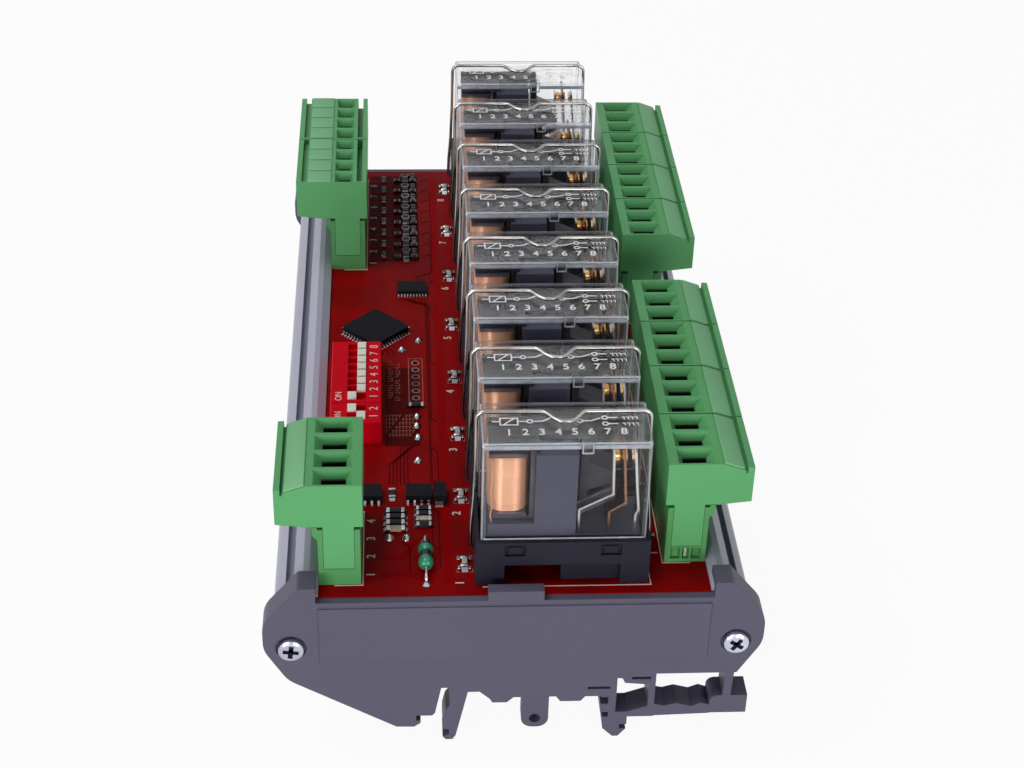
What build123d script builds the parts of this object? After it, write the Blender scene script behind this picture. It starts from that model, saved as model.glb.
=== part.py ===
"""Rail-mounted input and relay output board: an open circuit board in a plastic rail profile,
with eight plug-in relays, pluggable screw terminals and two banks of setting switches.

X runs across the rail, Y along it and Z up. The origin lies on the rail's centre line at mid
length, in the plane of the rail's upper face. Every distance called "from the front" is measured
in Y from the outer face of the front end cap.
"""
from build123d import *
import os

os.makedirs("parts", exist_ok=True)

# Overall sizes and the gaps that pieces are fitted with
overall_length = 160.0
fit_gap = 0.1
running_gap = 0.05

# Mounting rail that the feet grip
rail_half_width = 17.5
rail_lip = 1.2
rail_channel_half = 13.0

# Board and the profile that carries it
board_width = 72.0
board_thickness = 1.6
board_top = 27.15
board_edge = 1.6
profile_wall = 1.6
profile_floor_z = 10.6
profile_lip = 0.4
shelf_height = 1.5
groove_from_board = 2.8
groove_width = 1.6
groove_depth = 3.2
boss_radius = 2.8

# End caps
cap_half_width = board_width / 2 + 8.4
cap_depth = 5.0
cap_face = 1.5
cap_rim = 1.6
cap_ear_top = board_top + 3.05
cap_ear_inner = board_width / 2 - 1.1
cap_ear_outer = board_width / 2 + 2.0
cap_ear_round = 0.8
cap_slope_end = 22.4
cap_side_low = 16.4
cap_side_round = 6.0
cap_low_round = 6.0
cap_corner_x = board_width / 2 + 4.3
cap_corner_z = 9.2
cap_tab_width = 9.8
cap_tab_height = 2.0
cap_tab_reach = 0.6
cap_drop_below_board = 0.2
label_margin = 1.5
label_height = 12.6
label_middle_z = 19.5
label_raise = 0.3
foot_drop = 6.0
foot_thickness = 2.6

# Cap screws
screw_x = board_width / 2 + 3.5
screw_z = 16.8
screw_shank = 2.9
screw_head = 4.7
screw_head_height = 1.7
screw_recess = 5.5
screw_recess_depth = 0.5
screw_length = 9.0

# Relays and their sockets
relay_count = 8
socket_width = 30.6
socket_depth = 14.4
socket_from_front = 4.1
socket_from_rear = 2.2
socket_to_terminals = 2.95
socket_height = 9.3
socket_pocket = 2.4
socket_leg = 5.1
socket_arch = 4.3
cover_width = 29.0
cover_depth = 12.4
cover_height = 22.9
cover_wall = 0.8
cover_round = 0.6
relay_base_height = 2.7
yoke_sheet = 1.0
coil_width = 6.6
coil_depth = 8.8
coil_foot = 2.5
coil_height = cover_height - 11.3
coil_left = 13.2
core_size = 3.2
flange_sheet = 0.8
armature_gap = 0.4
armature_sheet = 0.9
pusher_stroke = 0.9
barrier_width = 6.6
blade_sheet = 0.4
blade_width = 2.4
spring_blade_width = 6.6
spring_blade_x = 10.0
spring_blade_lean = 0.75
clip_wire = 0.7
clip_bow = 3.0
clip_bow_half = 3.85
clip_lean = 2.65
clip_stand_off = 0.2
clip_leg_end = 2.6

# Terminal blocks
pole_pitch = 5.08
plug_gap = 0.3
plug_width = 15.1
plug_height = 21.65
plug_head_bottom = 12.8
plug_nose_width = 5.4
plug_ridge = 9.5
plug_lip = 1.1
plug_slope = 1.5
flat_plug_groove = 1.15
header_width = 7.4
header_overhang = 0.5
header_wall = 1.0
header_floor = 3.5
header_height = 12.2
right_near_first = 9.7
right_far_from_rear = 8.44
left_near_first = 4.8
left_far_from_rear = 6.36
funnel_inset = 1.7
funnel_length = 6.7
flat_funnel_inset = 2.9
flat_funnel_length = 3.9
funnel_width = 4.3
funnel_flare = 1.5
funnel_depth = 6.5
wire_hole_width = 3.2
wire_hole_to_front = 0.2
clamp_screw = 3.6
clamp_screw_height = 2.0
clamp_well_depth = 3.0

# Setting switches
switch_pitch = 2.54
switch_width = 10.0
switch_height = 5.1
switch_margin = 1.78
switch_from_edge = 2.6
bank_of_two_first = 0.293 * overall_length
slider_length = 1.7
slider_width = 2.1
slider_travel = 1.8
slider_proud = 0.5
slider_sink = 1.1
slider_off_from_edge = 8.6

# Small parts on the board
chip_side = 10.0
chip_height = 1.2
chip_from_front = 0.545 * overall_length
driver_from_rear = 56.4
power_row = 30.0
hole_row_first = 0.389 * overall_length
hole_count = 6
hole_radius = 0.5
lamp_to_socket = 1.65
lamp_from_relay = -1.4
lamp_width = 1.6
input_from_left_far = 4.9
input_count = 8


def from_front(distance):
    """The Y of a place that lies the given distance behind the front cap's outer face."""
    return distance - overall_length / 2


def outline(*points):
    """A flat face with straight sides."""
    return make_face(Polyline(*points, close=True))


def along_y(face, start, length):
    """Extrude a face drawn in X and Z, from a distance behind the front, towards the rear."""
    return Pos(0, from_front(start), 0) * extrude(Plane.XZ * face, amount=-length)


def block(x_low, x_high, y_low, y_high, z_low, z_high):
    """A box given by its limits."""
    size = Box(x_high - x_low, y_high - y_low, z_high - z_low)
    return Pos((x_low + x_high) / 2, (y_low + y_high) / 2, (z_low + z_high) / 2) * size


def plate(x_low, x_high, z_low, z_high):
    """A rectangle in X and Z given by its limits."""
    return Pos((x_low + x_high) / 2, (z_low + z_high) / 2) * Rectangle(x_high - x_low, z_high - z_low)


def group(solids):
    """Several separate solids that share one node."""
    return Compound(children=list(solids))


# Shapes shared by the caps and the profile

def shell_outline():
    """The caps' rounded outline above the feet, without the notch for the board."""
    half = [
        (cap_corner_x, cap_corner_z),
        (cap_half_width, cap_side_low),
        (cap_half_width, cap_slope_end),
        (cap_ear_outer, cap_ear_top),
    ]
    left = [(-x, z) for x, z in reversed(half)]
    shell = outline(*half, *left)
    sides = shell.vertices().sort_by(lambda corner: abs(corner.X))[-4:]
    return fillet(sides, cap_side_round)


def profile_outline():
    """The outer outline of the profile, which slides into both caps."""
    inside = offset(shell_outline(), amount=-(cap_rim + fit_gap), kind=Kind.INTERSECTION)
    keep = plate(-cap_half_width, cap_half_width, profile_floor_z, cap_ear_top)
    return inside & keep


def mirrored(face):
    """A face together with its mirror image across the rail's centre line."""
    return face + mirror(face, about=Plane.YZ)


# Profile and board

def make_profile():
    board_bottom = board_top - board_thickness
    slot_x = board_width / 2 + fit_gap
    wall_x = slot_x + profile_wall
    floor_top = profile_floor_z + profile_wall
    body = profile_outline()
    inner = plate(-slot_x, slot_x, floor_top, cap_ear_top)
    groove_floor = board_bottom - groove_depth
    groove_x = slot_x + groove_from_board
    groove = plate(groove_x, groove_x + groove_width, groove_floor, cap_ear_top)
    crest = plate(groove_x + groove_width, cap_half_width, board_bottom - running_gap, cap_ear_top)
    shell = offset(body, amount=-profile_wall, kind=Kind.INTERSECTION)
    chamber = shell & plate(wall_x, cap_half_width, floor_top, groove_floor - profile_wall)
    boss = Pos(screw_x, screw_z) * Circle(boss_radius)
    bore = Pos(screw_x, screw_z) * Circle(screw_shank / 2 + running_gap)
    lip_inner = slot_x - board_edge
    lip = outline(
        (slot_x, board_top + running_gap),
        (lip_inner, board_top + running_gap),
        (lip_inner, board_top + running_gap + profile_lip),
        (slot_x, cap_ear_top - cap_rim - fit_gap),
    )
    shelf = plate(lip_inner, slot_x, board_bottom - shelf_height, board_bottom)
    section = body - inner
    section -= mirrored(groove)
    section -= mirrored(crest)
    section -= mirrored(chamber - boss)
    section -= mirrored(bore)
    section += mirrored(lip + shelf)
    return along_y(section, cap_face, overall_length - 2 * cap_face)


def make_board():
    start = cap_face + running_gap
    length = overall_length - 2 * start
    board = block(
        -board_width / 2, board_width / 2, from_front(start), from_front(start) + length,
        board_top - board_thickness, board_top)
    for index in range(hole_count):
        place = Pos(hole_row_x(), from_front(hole_row_first + index * switch_pitch), board_top)
        board -= place * Cylinder(hole_radius, 4 * board_thickness)
    return board


# End caps with their rail feet

def hook_side():
    """The fixed hook that goes under one lip of the rail, below the wedge of the plate."""
    lip_x = -rail_half_width
    jaw_x = lip_x + 0.8
    root_x = -rail_channel_half
    return outline(
        (-cap_corner_x, cap_corner_z),
        (lip_x - 3.6, -rail_lip - 1.4),
        (lip_x - 0.4, -rail_lip - 1.5),
        (jaw_x, -rail_lip - 0.6),
        (jaw_x, -rail_lip),
        (lip_x, -rail_lip),
        (lip_x, 0),
        (root_x - 1.6, 0),
        (root_x - 1.1, 0.6),
        (root_x, 6.7),
        (root_x + 1.8, 6.7),
        (root_x + 1.8, cap_corner_z),
    )


def spring_finger():
    """The springy finger that presses inside the rail's channel."""
    face_x = -rail_channel_half + 0.3
    return outline(
        (face_x + 1.5, cap_corner_z),
        (face_x + 1.5, 4.4),
        (face_x + 1.2, 2.3),
        (face_x + 0.5, 1.2),
        (face_x, -1.1),
        (face_x, -foot_drop + 2.5),
        (face_x + 1.2, -foot_drop + 2.5),
        (face_x + 1.2, -foot_drop + 1.3),
        (face_x, -foot_drop + 0.7),
        (face_x + 0.6, -foot_drop),
        (face_x + 1.8, -foot_drop),
        (face_x + 2.4, -foot_drop + 1.0),
        (face_x + 3.8, 2.0),
        (face_x + 4.5, 5.6),
        (face_x + 4.5, cap_corner_z),
    )


def middle_pads():
    """The plate's lower edge between the feet, with its two low pads."""
    left_x = -rail_channel_half + 4.6
    return outline(
        (left_x, cap_corner_z),
        (left_x, 5.6),
        (left_x + 2.3, 5.6),
        (left_x + 4.1, 3.9),
        (left_x + 4.7, 2.9),
        (left_x + 7.3, 2.9),
        (left_x + 8.5, 4.1),
        (left_x + 16.2, 4.1),
        (left_x + 17.0, 2.9),
        (left_x + 20.7, 2.9),
        (left_x + 21.5, 4.0),
        (rail_half_width - 1.0, 4.0),
        (rail_half_width - 1.0, cap_corner_z),
    )


def latch_side():
    """The sprung jaw with its thin springs, pull bar and lever, moulded with the plate."""
    lip_x = rail_half_width
    lever_x = cap_corner_x - 4.4
    post = plate(lip_x - 1.5, lip_x + 8.3, -rail_lip, cap_corner_z)
    window = outline(
        (lip_x + 1.3, 0),
        (lip_x + 7.1, 0),
        (lip_x + 7.1, 6.6),
        (lip_x + 2.7, 7.1),
        (lip_x + 2.2, 8.2),
        (lip_x + 1.3, 8.3),
    )
    jaw = outline(
        (lip_x - 1.1, -rail_lip),
        (lip_x - 0.9, -foot_drop + 2.0),
        (lip_x + 1.0, -foot_drop),
        (lip_x + 2.0, -foot_drop),
        (lip_x + 3.4, -foot_drop + 1.8),
        (lip_x + 2.2, -foot_drop + 1.8),
        (lip_x + 2.2, -foot_drop + 2.9),
        (lip_x + 3.5, -foot_drop + 2.9),
        (lip_x + 3.5, -rail_lip),
    )
    bar = outline(
        (lip_x + 3.4, -rail_lip),
        (lever_x + 0.1, -rail_lip + 0.5),
        (lever_x + 0.1, 1.3),
        (lever_x - 1.4, 1.9),
        (lever_x - 3.2, 1.1),
        (lip_x + 12.4, 1.9),
        (lip_x + 10.3, 1.3),
        (lip_x + 8.3, 1.8),
        (lip_x + 3.4, 0),
    )
    lever = plate(lever_x, lever_x + 6.9, -rail_lip + 0.6, 3.6)
    lever = fillet(lever.vertices().group_by(Axis.Y)[-1].sort_by(Axis.X)[0], 1.5)
    spring = outline(
        (lever_x + 2.3, 3.6),
        (lever_x + 3.8, 3.6),
        (lever_x + 4.0, cap_corner_z + 0.1),
        (lever_x + 2.5, cap_corner_z + 0.1),
    )
    groove = plate(lip_x - 2.0, lip_x, -rail_lip, 0)
    notch = plate(lip_x - 2.0, lip_x - 0.1, 2.0, 3.7)
    return post - window - groove - notch + jaw + bar + lever + spring


def centre_leg():
    """The short leg with a hole, set back between the feet."""
    left_x = -rail_channel_half + 14.7
    width = 5.0
    bottom = -foot_drop + 1.3
    leg = plate(left_x, left_x + width, bottom, cap_corner_z)
    leg = fillet(leg.vertices().group_by(Axis.Y)[0], width / 2.4)
    return leg - Pos(left_x + width / 2, bottom + 2.1) * Circle(1.05)


def make_front_cap():
    plate_top = board_top - cap_drop_below_board
    upper = shell_outline()
    upper = fillet(upper.vertices().group_by(Axis.Y)[-1], cap_ear_round)
    upper -= plate(-cap_ear_inner, cap_ear_inner, plate_top, cap_ear_top + 1)
    feet = hook_side() + spring_finger() + middle_pads() + latch_side()
    spring_slots = plate(rail_half_width - 4.0, rail_half_width + 0.1, 5.7, 6.3)
    spring_slots += plate(rail_half_width + 3.9, rail_half_width + 7.4, 7.9, 8.5)
    face = upper + feet - spring_slots
    low_corner = face.vertices().sort_by_distance((-cap_corner_x, cap_corner_z, 0))[0]
    face = fillet(low_corner, cap_low_round)
    cap = along_y(face, 0, cap_depth)
    pocket = offset(profile_outline(), amount=fit_gap, kind=Kind.INTERSECTION)
    pocket += plate(-cap_ear_inner, cap_ear_inner, profile_floor_z, cap_ear_top + 1)
    cap -= along_y(pocket, cap_face, cap_depth)
    wedge = outline(
        (-cap_corner_x + 6.0, cap_corner_z - 0.6),
        (-rail_half_width - 3.2, 1.2),
        (-rail_channel_half - 2.6, 1.6),
        (-rail_channel_half - 1.6, cap_corner_z - 0.6),
    )
    cap -= along_y(wedge, cap_face, cap_depth)
    cap += along_y(centre_leg(), cap_face, foot_thickness)
    tab_top = plate_top + cap_tab_height
    cap += along_y(plate(-cap_tab_width / 2, cap_tab_width / 2, plate_top - 1, tab_top), 0, cap_face)
    tab = plate(-cap_tab_width / 2, cap_tab_width / 2, board_top, tab_top)
    cap += along_y(tab, 0, cap_face + cap_tab_reach)
    label = Pos(0, label_middle_z) * Rectangle(board_width - 2 * label_margin, label_height)
    cap += along_y(label, -label_raise, label_raise)
    for side in (-1, 1):
        seat = Pos(side * screw_x, screw_z)
        cap -= along_y(seat * Circle(screw_recess / 2), 0, screw_recess_depth)
        cap -= along_y(seat * Circle(screw_shank / 2 + fit_gap), 0, cap_depth)
    return cap


def make_cap_screw(side):
    seat = Pos(side * screw_x, screw_z)
    head = along_y(seat * Circle(screw_head / 2), screw_recess_depth - screw_head_height, screw_head_height)
    rim = head.faces().sort_by(Axis.Y)[0].edges()
    head = fillet(rim, screw_head_height / 2.4)
    shank = along_y(seat * Circle(screw_shank / 2), screw_recess_depth, screw_length)
    return head + shank


def make_cap_screws():
    front = [make_cap_screw(side) for side in (-1, 1)]
    rear = [mirror(screw, about=Plane.XZ) for screw in front]
    return group(front + rear)


# Relays and their sockets

def relay_x():
    return block_inner_x() - socket_to_terminals - socket_width / 2


def relay_from_front(index):
    free_length = overall_length - socket_from_front - socket_from_rear - socket_depth
    return socket_from_front + socket_depth / 2 + index * free_length / (relay_count - 1)


def relay_place(index):
    """The point on the board under the middle of a relay."""
    return Pos(relay_x(), from_front(relay_from_front(index)), board_top)


def make_socket():
    half_x = socket_width / 2
    half_y = socket_depth / 2
    socket = block(-half_x, half_x, -half_y, half_y, 0, socket_height)
    pocket_x = cover_width / 2 + fit_gap
    pocket_y = cover_depth / 2 + fit_gap
    seat = socket_height - socket_pocket
    socket -= block(-pocket_x, pocket_x, -pocket_y, pocket_y, seat, socket_height + 1)
    arch_left = -half_x + socket_leg
    arch_right = half_x - socket_leg
    socket -= block(arch_left, -0.2, -half_y, half_y, 0, socket_arch)
    for side in (-1, 1):
        face_y = side * half_y
        low, high = sorted((face_y, face_y - side * 1.3))
        socket -= block(-0.2, arch_right, low, high, 0, socket_arch)
        low, high = sorted((face_y, face_y - side * 0.6))
        for window_x in (arch_left + 1.8, arch_right - 1.8):
            socket -= block(window_x - 1.8, window_x + 1.8, low, high, seat - 0.6, seat + 1.8)
            low, high = sorted((face_y - side * 0.3, face_y - side * 0.6))
            socket += block(window_x - 1.2, window_x + 1.2, low, high, seat - 0.3, seat + 1.2)
            low, high = sorted((face_y, face_y - side * 0.6))
    return socket


def make_cover():
    seat = socket_height - socket_pocket
    half_x = cover_width / 2
    half_y = cover_depth / 2
    outer = block(-half_x, half_x, -half_y, half_y, seat, seat + cover_height)
    outer = fillet(outer.edges().filter_by(Axis.Z), cover_round)
    outer = fillet(outer.faces().sort_by(Axis.Z)[-1].edges(), cover_round * 0.7)
    inner = block(
        -half_x + cover_wall, half_x - cover_wall, -half_y + cover_wall, half_y - cover_wall,
        seat - 1, seat + cover_height - cover_wall)
    top = seat + cover_height
    nub = block(2.4, 4.4, -half_y - 0.5, -half_y + cover_wall / 2, top - 1.9, top + 0.4)
    nub += block(2.4, 4.4, -half_y - 0.5, -half_y + 1.2, top - cover_wall / 2, top + 0.4)
    return outer - inner + nub


def relay_base_top():
    return socket_height - socket_pocket + relay_base_height


def coil_middle_x():
    return -coil_left + coil_width / 2


def coil_bottom():
    return relay_base_top() + coil_foot + yoke_sheet + flange_sheet


def coil_top():
    return coil_bottom() + coil_height


def make_relay_base():
    """The relay's base with the upright wall that parts the coil from the contacts."""
    half_x = cover_width / 2 - cover_wall - running_gap
    half_y = cover_depth / 2 - cover_wall - running_gap
    seat = socket_height - socket_pocket
    base = block(-half_x, half_x, -half_y, half_y, seat, relay_base_top())
    wall_x = -coil_left + coil_width + 2 * running_gap + 2 * yoke_sheet
    wall_top = hinge_height() - 0.3
    wall = block(wall_x, wall_x + barrier_width, -half_y, half_y, relay_base_top(), wall_top)
    front = block(
        wall_x - 0.7, wall_x + barrier_width, -half_y, -half_y + 0.8, relay_base_top(), wall_top)
    foot = block(
        -coil_left, wall_x, -half_y, coil_depth / 2, relay_base_top(), relay_base_top() + coil_foot)
    return base + wall + front + foot


def make_yoke():
    """The bent iron yoke with the core that stands in the coil."""
    half_y = coil_depth / 2
    left = -coil_left
    plate_x = -coil_left + coil_width + running_gap + yoke_sheet / 2
    low = relay_base_top() + coil_foot
    sole = block(left, plate_x, -half_y, half_y, low, low + yoke_sheet)
    web = block(plate_x, plate_x + yoke_sheet, -half_y, half_y, low, hinge_height())
    core = block(
        coil_middle_x() - core_size / 2, coil_middle_x() + core_size / 2, -core_size / 2, core_size / 2,
        low + yoke_sheet, hinge_height() - armature_gap)
    return sole + web + core


def hinge_height():
    """Where the armature rocks on the yoke's upper edge."""
    return coil_top() + flange_sheet + armature_gap + 0.3


def make_bobbin():
    half_x = coil_width / 2
    half_y = coil_depth / 2
    lower = coil_bottom() - flange_sheet
    bobbin = block(-half_x, half_x, -half_y, half_y, lower, coil_bottom())
    bobbin += block(-half_x, half_x, -half_y, half_y, coil_top(), coil_top() + flange_sheet)
    tube = core_size / 2 + running_gap + 0.5
    bobbin += block(-tube, tube, -tube, tube, coil_bottom(), coil_top())
    hole = core_size / 2 + running_gap
    bobbin -= block(-hole, hole, -hole, hole, lower - 1, coil_top() + flange_sheet + 1)
    return Pos(coil_middle_x(), 0, 0) * bobbin


def make_winding():
    ring = RectangleRounded(coil_width - 0.3, coil_depth - 0.5, 2.9)
    hole = core_size + 2 * running_gap + 1.0 + 2 * running_gap
    ring -= Rectangle(hole, hole)
    winding = extrude(ring, amount=coil_height - 2 * running_gap)
    return Pos(coil_middle_x(), 0, coil_bottom() + running_gap) * winding


def strip(points, width):
    """A thin sheet strip along points in X and Z, from the blades' front edge backwards."""
    path = trace(Polyline(*points), line_width=blade_sheet)
    return Pos(0, blade_front(), 0) * extrude(Plane.XZ * path, amount=-width)


def contact_tip(x, z, thickness):
    tip = Rotation(0, 90, 0) * Cylinder(blade_width / 2.4, thickness)
    return Pos(x, blade_front() + blade_width / 2, z) * tip


def blade_front():
    return -cover_depth / 2 + cover_wall + 1.2


def make_closed_contact():
    """The fixed blade that the spring blade rests on."""
    top = coil_top() + 0.7
    low = relay_base_top()
    x = spring_blade_x - 1.8
    blade = strip([(x - 5.5, low), (x - 5.5, low + 4.5), (x + 0.3, low + 7.7), (x, top)], blade_width)
    return blade + contact_tip(x + 0.5, top - 1.2, 0.7)


def make_open_contact():
    """The fixed blade that the spring blade reaches when the coil is live."""
    top = coil_top() + 0.6
    low = relay_base_top()
    x = spring_blade_x + 1.95
    foot = [(x + 0.6, low), (x + 0.6, low + 3.2), (x + 1.1, low + 4.3)]
    points = foot + [(x + 0.45, top - 5.6), (x, top)]
    return strip(points, blade_width) + contact_tip(x - 0.35, top - 1.1, 0.6)


def make_spring_blade():
    """The copper blade between the two fixed ones."""
    top = coil_top() + 0.9
    low = relay_base_top()
    x = spring_blade_x
    bend_x = x + spring_blade_lean
    points = [(bend_x - 2.8, low), (bend_x - 2.8, low + 3.9), (bend_x, low + 5.8), (x, top)]
    return strip(points, spring_blade_width) + contact_tip(x + 0.05, top - 1.4, 1.0)


def make_armature():
    """The rocking iron plate with the arm and pusher that work the spring blade."""
    low = hinge_height() + 0.02
    high = low + armature_sheet
    half_y = coil_depth / 2
    wall_x = -coil_left + coil_width + 2 * running_gap + 2 * yoke_sheet
    arm_x = wall_x + barrier_width + 0.8
    tip_x = spring_blade_x + spring_blade_lean / 2 - blade_sheet / 2 - pusher_stroke - fit_gap
    arm_front = blade_front() + blade_width + 0.8
    leg_low = relay_base_top() + 3.0
    sheet = block(-coil_left, wall_x, -half_y, half_y, low, high)
    arm = block(wall_x, arm_x + 1.3, arm_front, half_y, low, high)
    leg = block(arm_x, arm_x + 1.3, arm_front, half_y, leg_low, high)
    pusher = outline(
        (arm_x, leg_low + 3.0),
        (tip_x, leg_low + 5.0),
        (tip_x, leg_low + 7.0),
        (arm_x, leg_low + 10.0),
    )
    push = Pos(0, arm_front, 0) * extrude(Plane.XZ * pusher, amount=arm_front - half_y)
    return sheet + arm + leg + push


def make_clip():
    """The bent wire that holds a relay down in its socket."""
    radius = clip_wire / 2
    top = socket_height - socket_pocket + cover_height + radius + running_gap
    at_cover = cover_width / 2 + radius + clip_stand_off
    at_socket = socket_width / 2 + radius + clip_stand_off
    rise = top - clip_leg_end

    def leaning(x, z, forward=0.0):
        return (x, clip_lean * (z - clip_leg_end) / rise - forward, z)

    half = [
        leaning(at_socket, clip_leg_end),
        leaning(at_socket, socket_height + 0.6),
        leaning(at_cover, socket_height + 3.0),
        leaning(at_cover, top),
        leaning(clip_bow_half, top),
        leaning(clip_bow_half / 2, top, clip_bow),
    ]
    points = [(-x, y, z) for x, y, z in half] + list(reversed(half))
    path = FilletPolyline(*points, radius=1.4 * clip_wire)
    start = Plane(origin=path @ 0, z_dir=path % 0)
    return sweep(start * Circle(radius), path=path)


# Terminal blocks, drawn for the right side with the inner edge at X = 0

def block_inner_x():
    """The X of the plugs' inner faces, with the headers standing beside the profile's lip."""
    return board_width / 2 - board_edge - header_width - header_overhang


def nose_start():
    return header_overhang + header_wall + running_gap


def plug_nose():
    return plate(nose_start(), nose_start() + plug_nose_width, header_floor + fit_gap, plug_head_bottom)


def plug_outline():
    """The plugs whose marker face slopes down from the ridge to a lip."""
    lip_x = plug_width - plug_lip
    low_z = plug_height - plug_slope
    head = outline(
        (0, plug_head_bottom),
        (plug_ridge, plug_head_bottom),
        (plug_width, plug_head_bottom + 0.7),
        (plug_width, low_z + 0.7),
        (lip_x, low_z + 0.8),
        (lip_x, low_z - 0.5),
        (lip_x - 0.4, low_z - 0.5),
        (lip_x - 0.4, low_z),
        (plug_ridge, plug_height),
        (0, plug_height),
    )
    return head + plug_nose()


def flat_plug_outline():
    """The plugs with a flat top, which has a groove near each edge instead."""
    head = outline(
        (0, plug_head_bottom),
        (plug_ridge, plug_head_bottom),
        (plug_width, plug_head_bottom + 0.7),
        (plug_width, plug_height),
        (0, plug_height),
    )
    return head + plug_nose()


three_poles = 3 * pole_pitch + plug_gap
four_poles = 4 * pole_pitch + plug_gap
right_far_first = overall_length - right_far_from_rear + plug_gap - 4 * three_poles
left_far_first = overall_length - left_far_from_rear + plug_gap - 2 * four_poles
right_starts = [
    first + index * three_poles for first in (right_near_first, right_far_first) for index in range(4)]
left_starts = [left_near_first, left_far_first, left_far_first + four_poles]


def clamp_z():
    return (plug_head_bottom + plug_height - plug_slope) / 2


def pole_places(poles, start):
    """The middle of each pole in Y."""
    return [from_front(start) + (index + 0.5) * pole_pitch for index in range(poles)]


def wire_entry(inset, length, y):
    """A flared mouth and the narrower hole below it, which lies towards the mouth's front."""
    mouth = Pos(inset + length / 2, y, plug_height) * Rectangle(length, funnel_width)
    hole_length = 0.64 * length
    hole_x = inset + 0.16 * length + hole_length / 2
    hole_place = Pos(hole_x, y - wire_hole_to_front, plug_height - funnel_flare)
    hole = hole_place * Rectangle(hole_length, wire_hole_width)
    flare = loft([mouth.face(), hole.face()])
    return flare + extrude(hole, amount=funnel_flare - funnel_depth)


def make_plug(poles, start, flat=False):
    """A plug with a wire entry and a clamp screw well for every pole."""
    length = poles * pole_pitch
    plug = along_y(flat_plug_outline() if flat else plug_outline(), start, length)
    inset, mouth_length = funnel_inset, funnel_length
    if flat:
        inset, mouth_length = flat_funnel_inset, flat_funnel_length
        outer_x = plug_width - plug_lip - flat_plug_groove
        for groove_x, depth in ((flat_plug_groove / 1.2, 2.5), (outer_x, 1.3)):
            groove = plate(groove_x, groove_x + flat_plug_groove, plug_height - depth, plug_height + 1)
            plug -= along_y(groove, start + 0.6, length - 0.6)
    for y in pole_places(poles, start):
        plug -= wire_entry(inset, mouth_length, y)
        well = Pos(plug_width, y, clamp_z()) * Rotation(0, 90, 0)
        plug -= well * Cylinder(clamp_screw / 2 + fit_gap, 2 * clamp_well_depth)
    return plug


def make_clamp_screws(poles, start):
    middle_x = plug_width - clamp_well_depth + clamp_screw_height / 2
    screw = Rotation(0, 90, 0) * Cylinder(clamp_screw / 2, clamp_screw_height)
    return [Pos(middle_x, y, clamp_z()) * screw for y in pole_places(poles, start)]


def header_outline():
    left = header_overhang
    right = left + header_width
    tip = plug_head_bottom - fit_gap
    walls = plate(left, left + header_wall, 0, header_height)
    nose_right = nose_start() + plug_nose_width + running_gap
    walls += outline(
        (nose_right, 0),
        (right, 0),
        (right, header_height - 2.4),
        (right + 0.9, header_height - 1.2),
        (right + 0.9, tip),
        (right, tip),
        (right, header_height),
        (nose_right, header_height),
    )
    return walls + plate(left, right, 0, header_floor)


def make_header(poles, start, recessed=True):
    length = poles * pole_pitch
    header = along_y(header_outline(), start, length)
    if recessed:
        middle = nose_start() + plug_nose_width / 2
        recess = plate(nose_start(), nose_start() + plug_nose_width, 0.7, header_floor - 0.4)
        for side in (-1, 1):
            recess -= plate(middle + side * 0.8 - 0.2, middle + side * 0.8 + 0.2, 0.7, header_floor - 0.4)
        header -= along_y(recess, start, 0.8)
        header -= along_y(recess, start + length - 0.8, 0.8)
    return header


def on_side(side, solid):
    """Put a block drawn for the right side in its place on the right or the left."""
    placed = Pos(block_inner_x(), 0, board_top) * solid
    if side < 0:
        placed = mirror(placed, about=Plane.YZ)
    return placed


# Setting switches

def bank_start(bank):
    """Where a bank's near end lies: the bank of two first, then the bank of eight."""
    return bank_of_two_first + (0 if bank == 2 else bank_length(2))


def bank_length(positions):
    return (positions - 1) * switch_pitch + 2 * switch_margin + 0.6


def switch_right_x():
    return -board_width / 2 + switch_from_edge + switch_width


def slider_y(bank, number):
    middle = from_front(bank_start(bank)) + bank_length(bank) / 2
    return middle + (number - (bank + 1) / 2) * switch_pitch


def slider_centre_x(is_on):
    return -board_width / 2 + slider_off_from_edge - (slider_travel if is_on else 0)


def make_switch_body(bank):
    left = switch_right_x() - switch_width
    start = from_front(bank_start(bank))
    body = block(
        left, switch_right_x(), start, start + bank_length(bank), board_top, board_top + switch_height)
    body = chamfer(body.faces().sort_by(Axis.Z)[-1].edges(), 0.2)
    low = slider_centre_x(True) - slider_length / 2 - running_gap
    high = slider_centre_x(False) + slider_length / 2 + running_gap
    half = slider_width / 2 + running_gap
    top = board_top + switch_height
    for number in range(1, bank + 1):
        y = slider_y(bank, number)
        body -= block(low, high, y - half, y + half, top - slider_sink - 0.02, top + 1)
    return body


def make_slider(bank, number, is_on):
    x = slider_centre_x(is_on)
    y = slider_y(bank, number)
    top = board_top + switch_height
    half_x = slider_length / 2
    half_y = slider_width / 2
    return block(x - half_x, x + half_x, y - half_y, y + half_y, top - slider_sink, top + slider_proud)


# Small parts soldered to the board

def lamp_x():
    return relay_x() - socket_width / 2 - lamp_to_socket


def spread(widths, gaps):
    """The middles of parts side by side between the profile's lip and the relays' lamps, with
    the free room shared out in proportion to the gaps: one before each part and one at the end."""
    low = -board_width / 2 - fit_gap + board_edge
    high = lamp_x() - lamp_width / 2
    unit = (high - low - sum(widths)) / sum(gaps)
    middles = []
    edge = low
    for width, gap in zip(widths, gaps):
        middles.append(edge + gap * unit + width / 2)
        edge = middles[-1] + width / 2
    return middles


def hole_row_x():
    return spread([2 * hole_radius], [17.4, 6.6])[0]


def on_board(x, start, wide, deep, high, lift=0.0):
    """A small block centred at X and at a distance from the front."""
    y = from_front(start)
    return block(x - wide / 2, x + wide / 2, y - deep / 2, y + deep / 2,
                 board_top + lift, board_top + lift + high)


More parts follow.
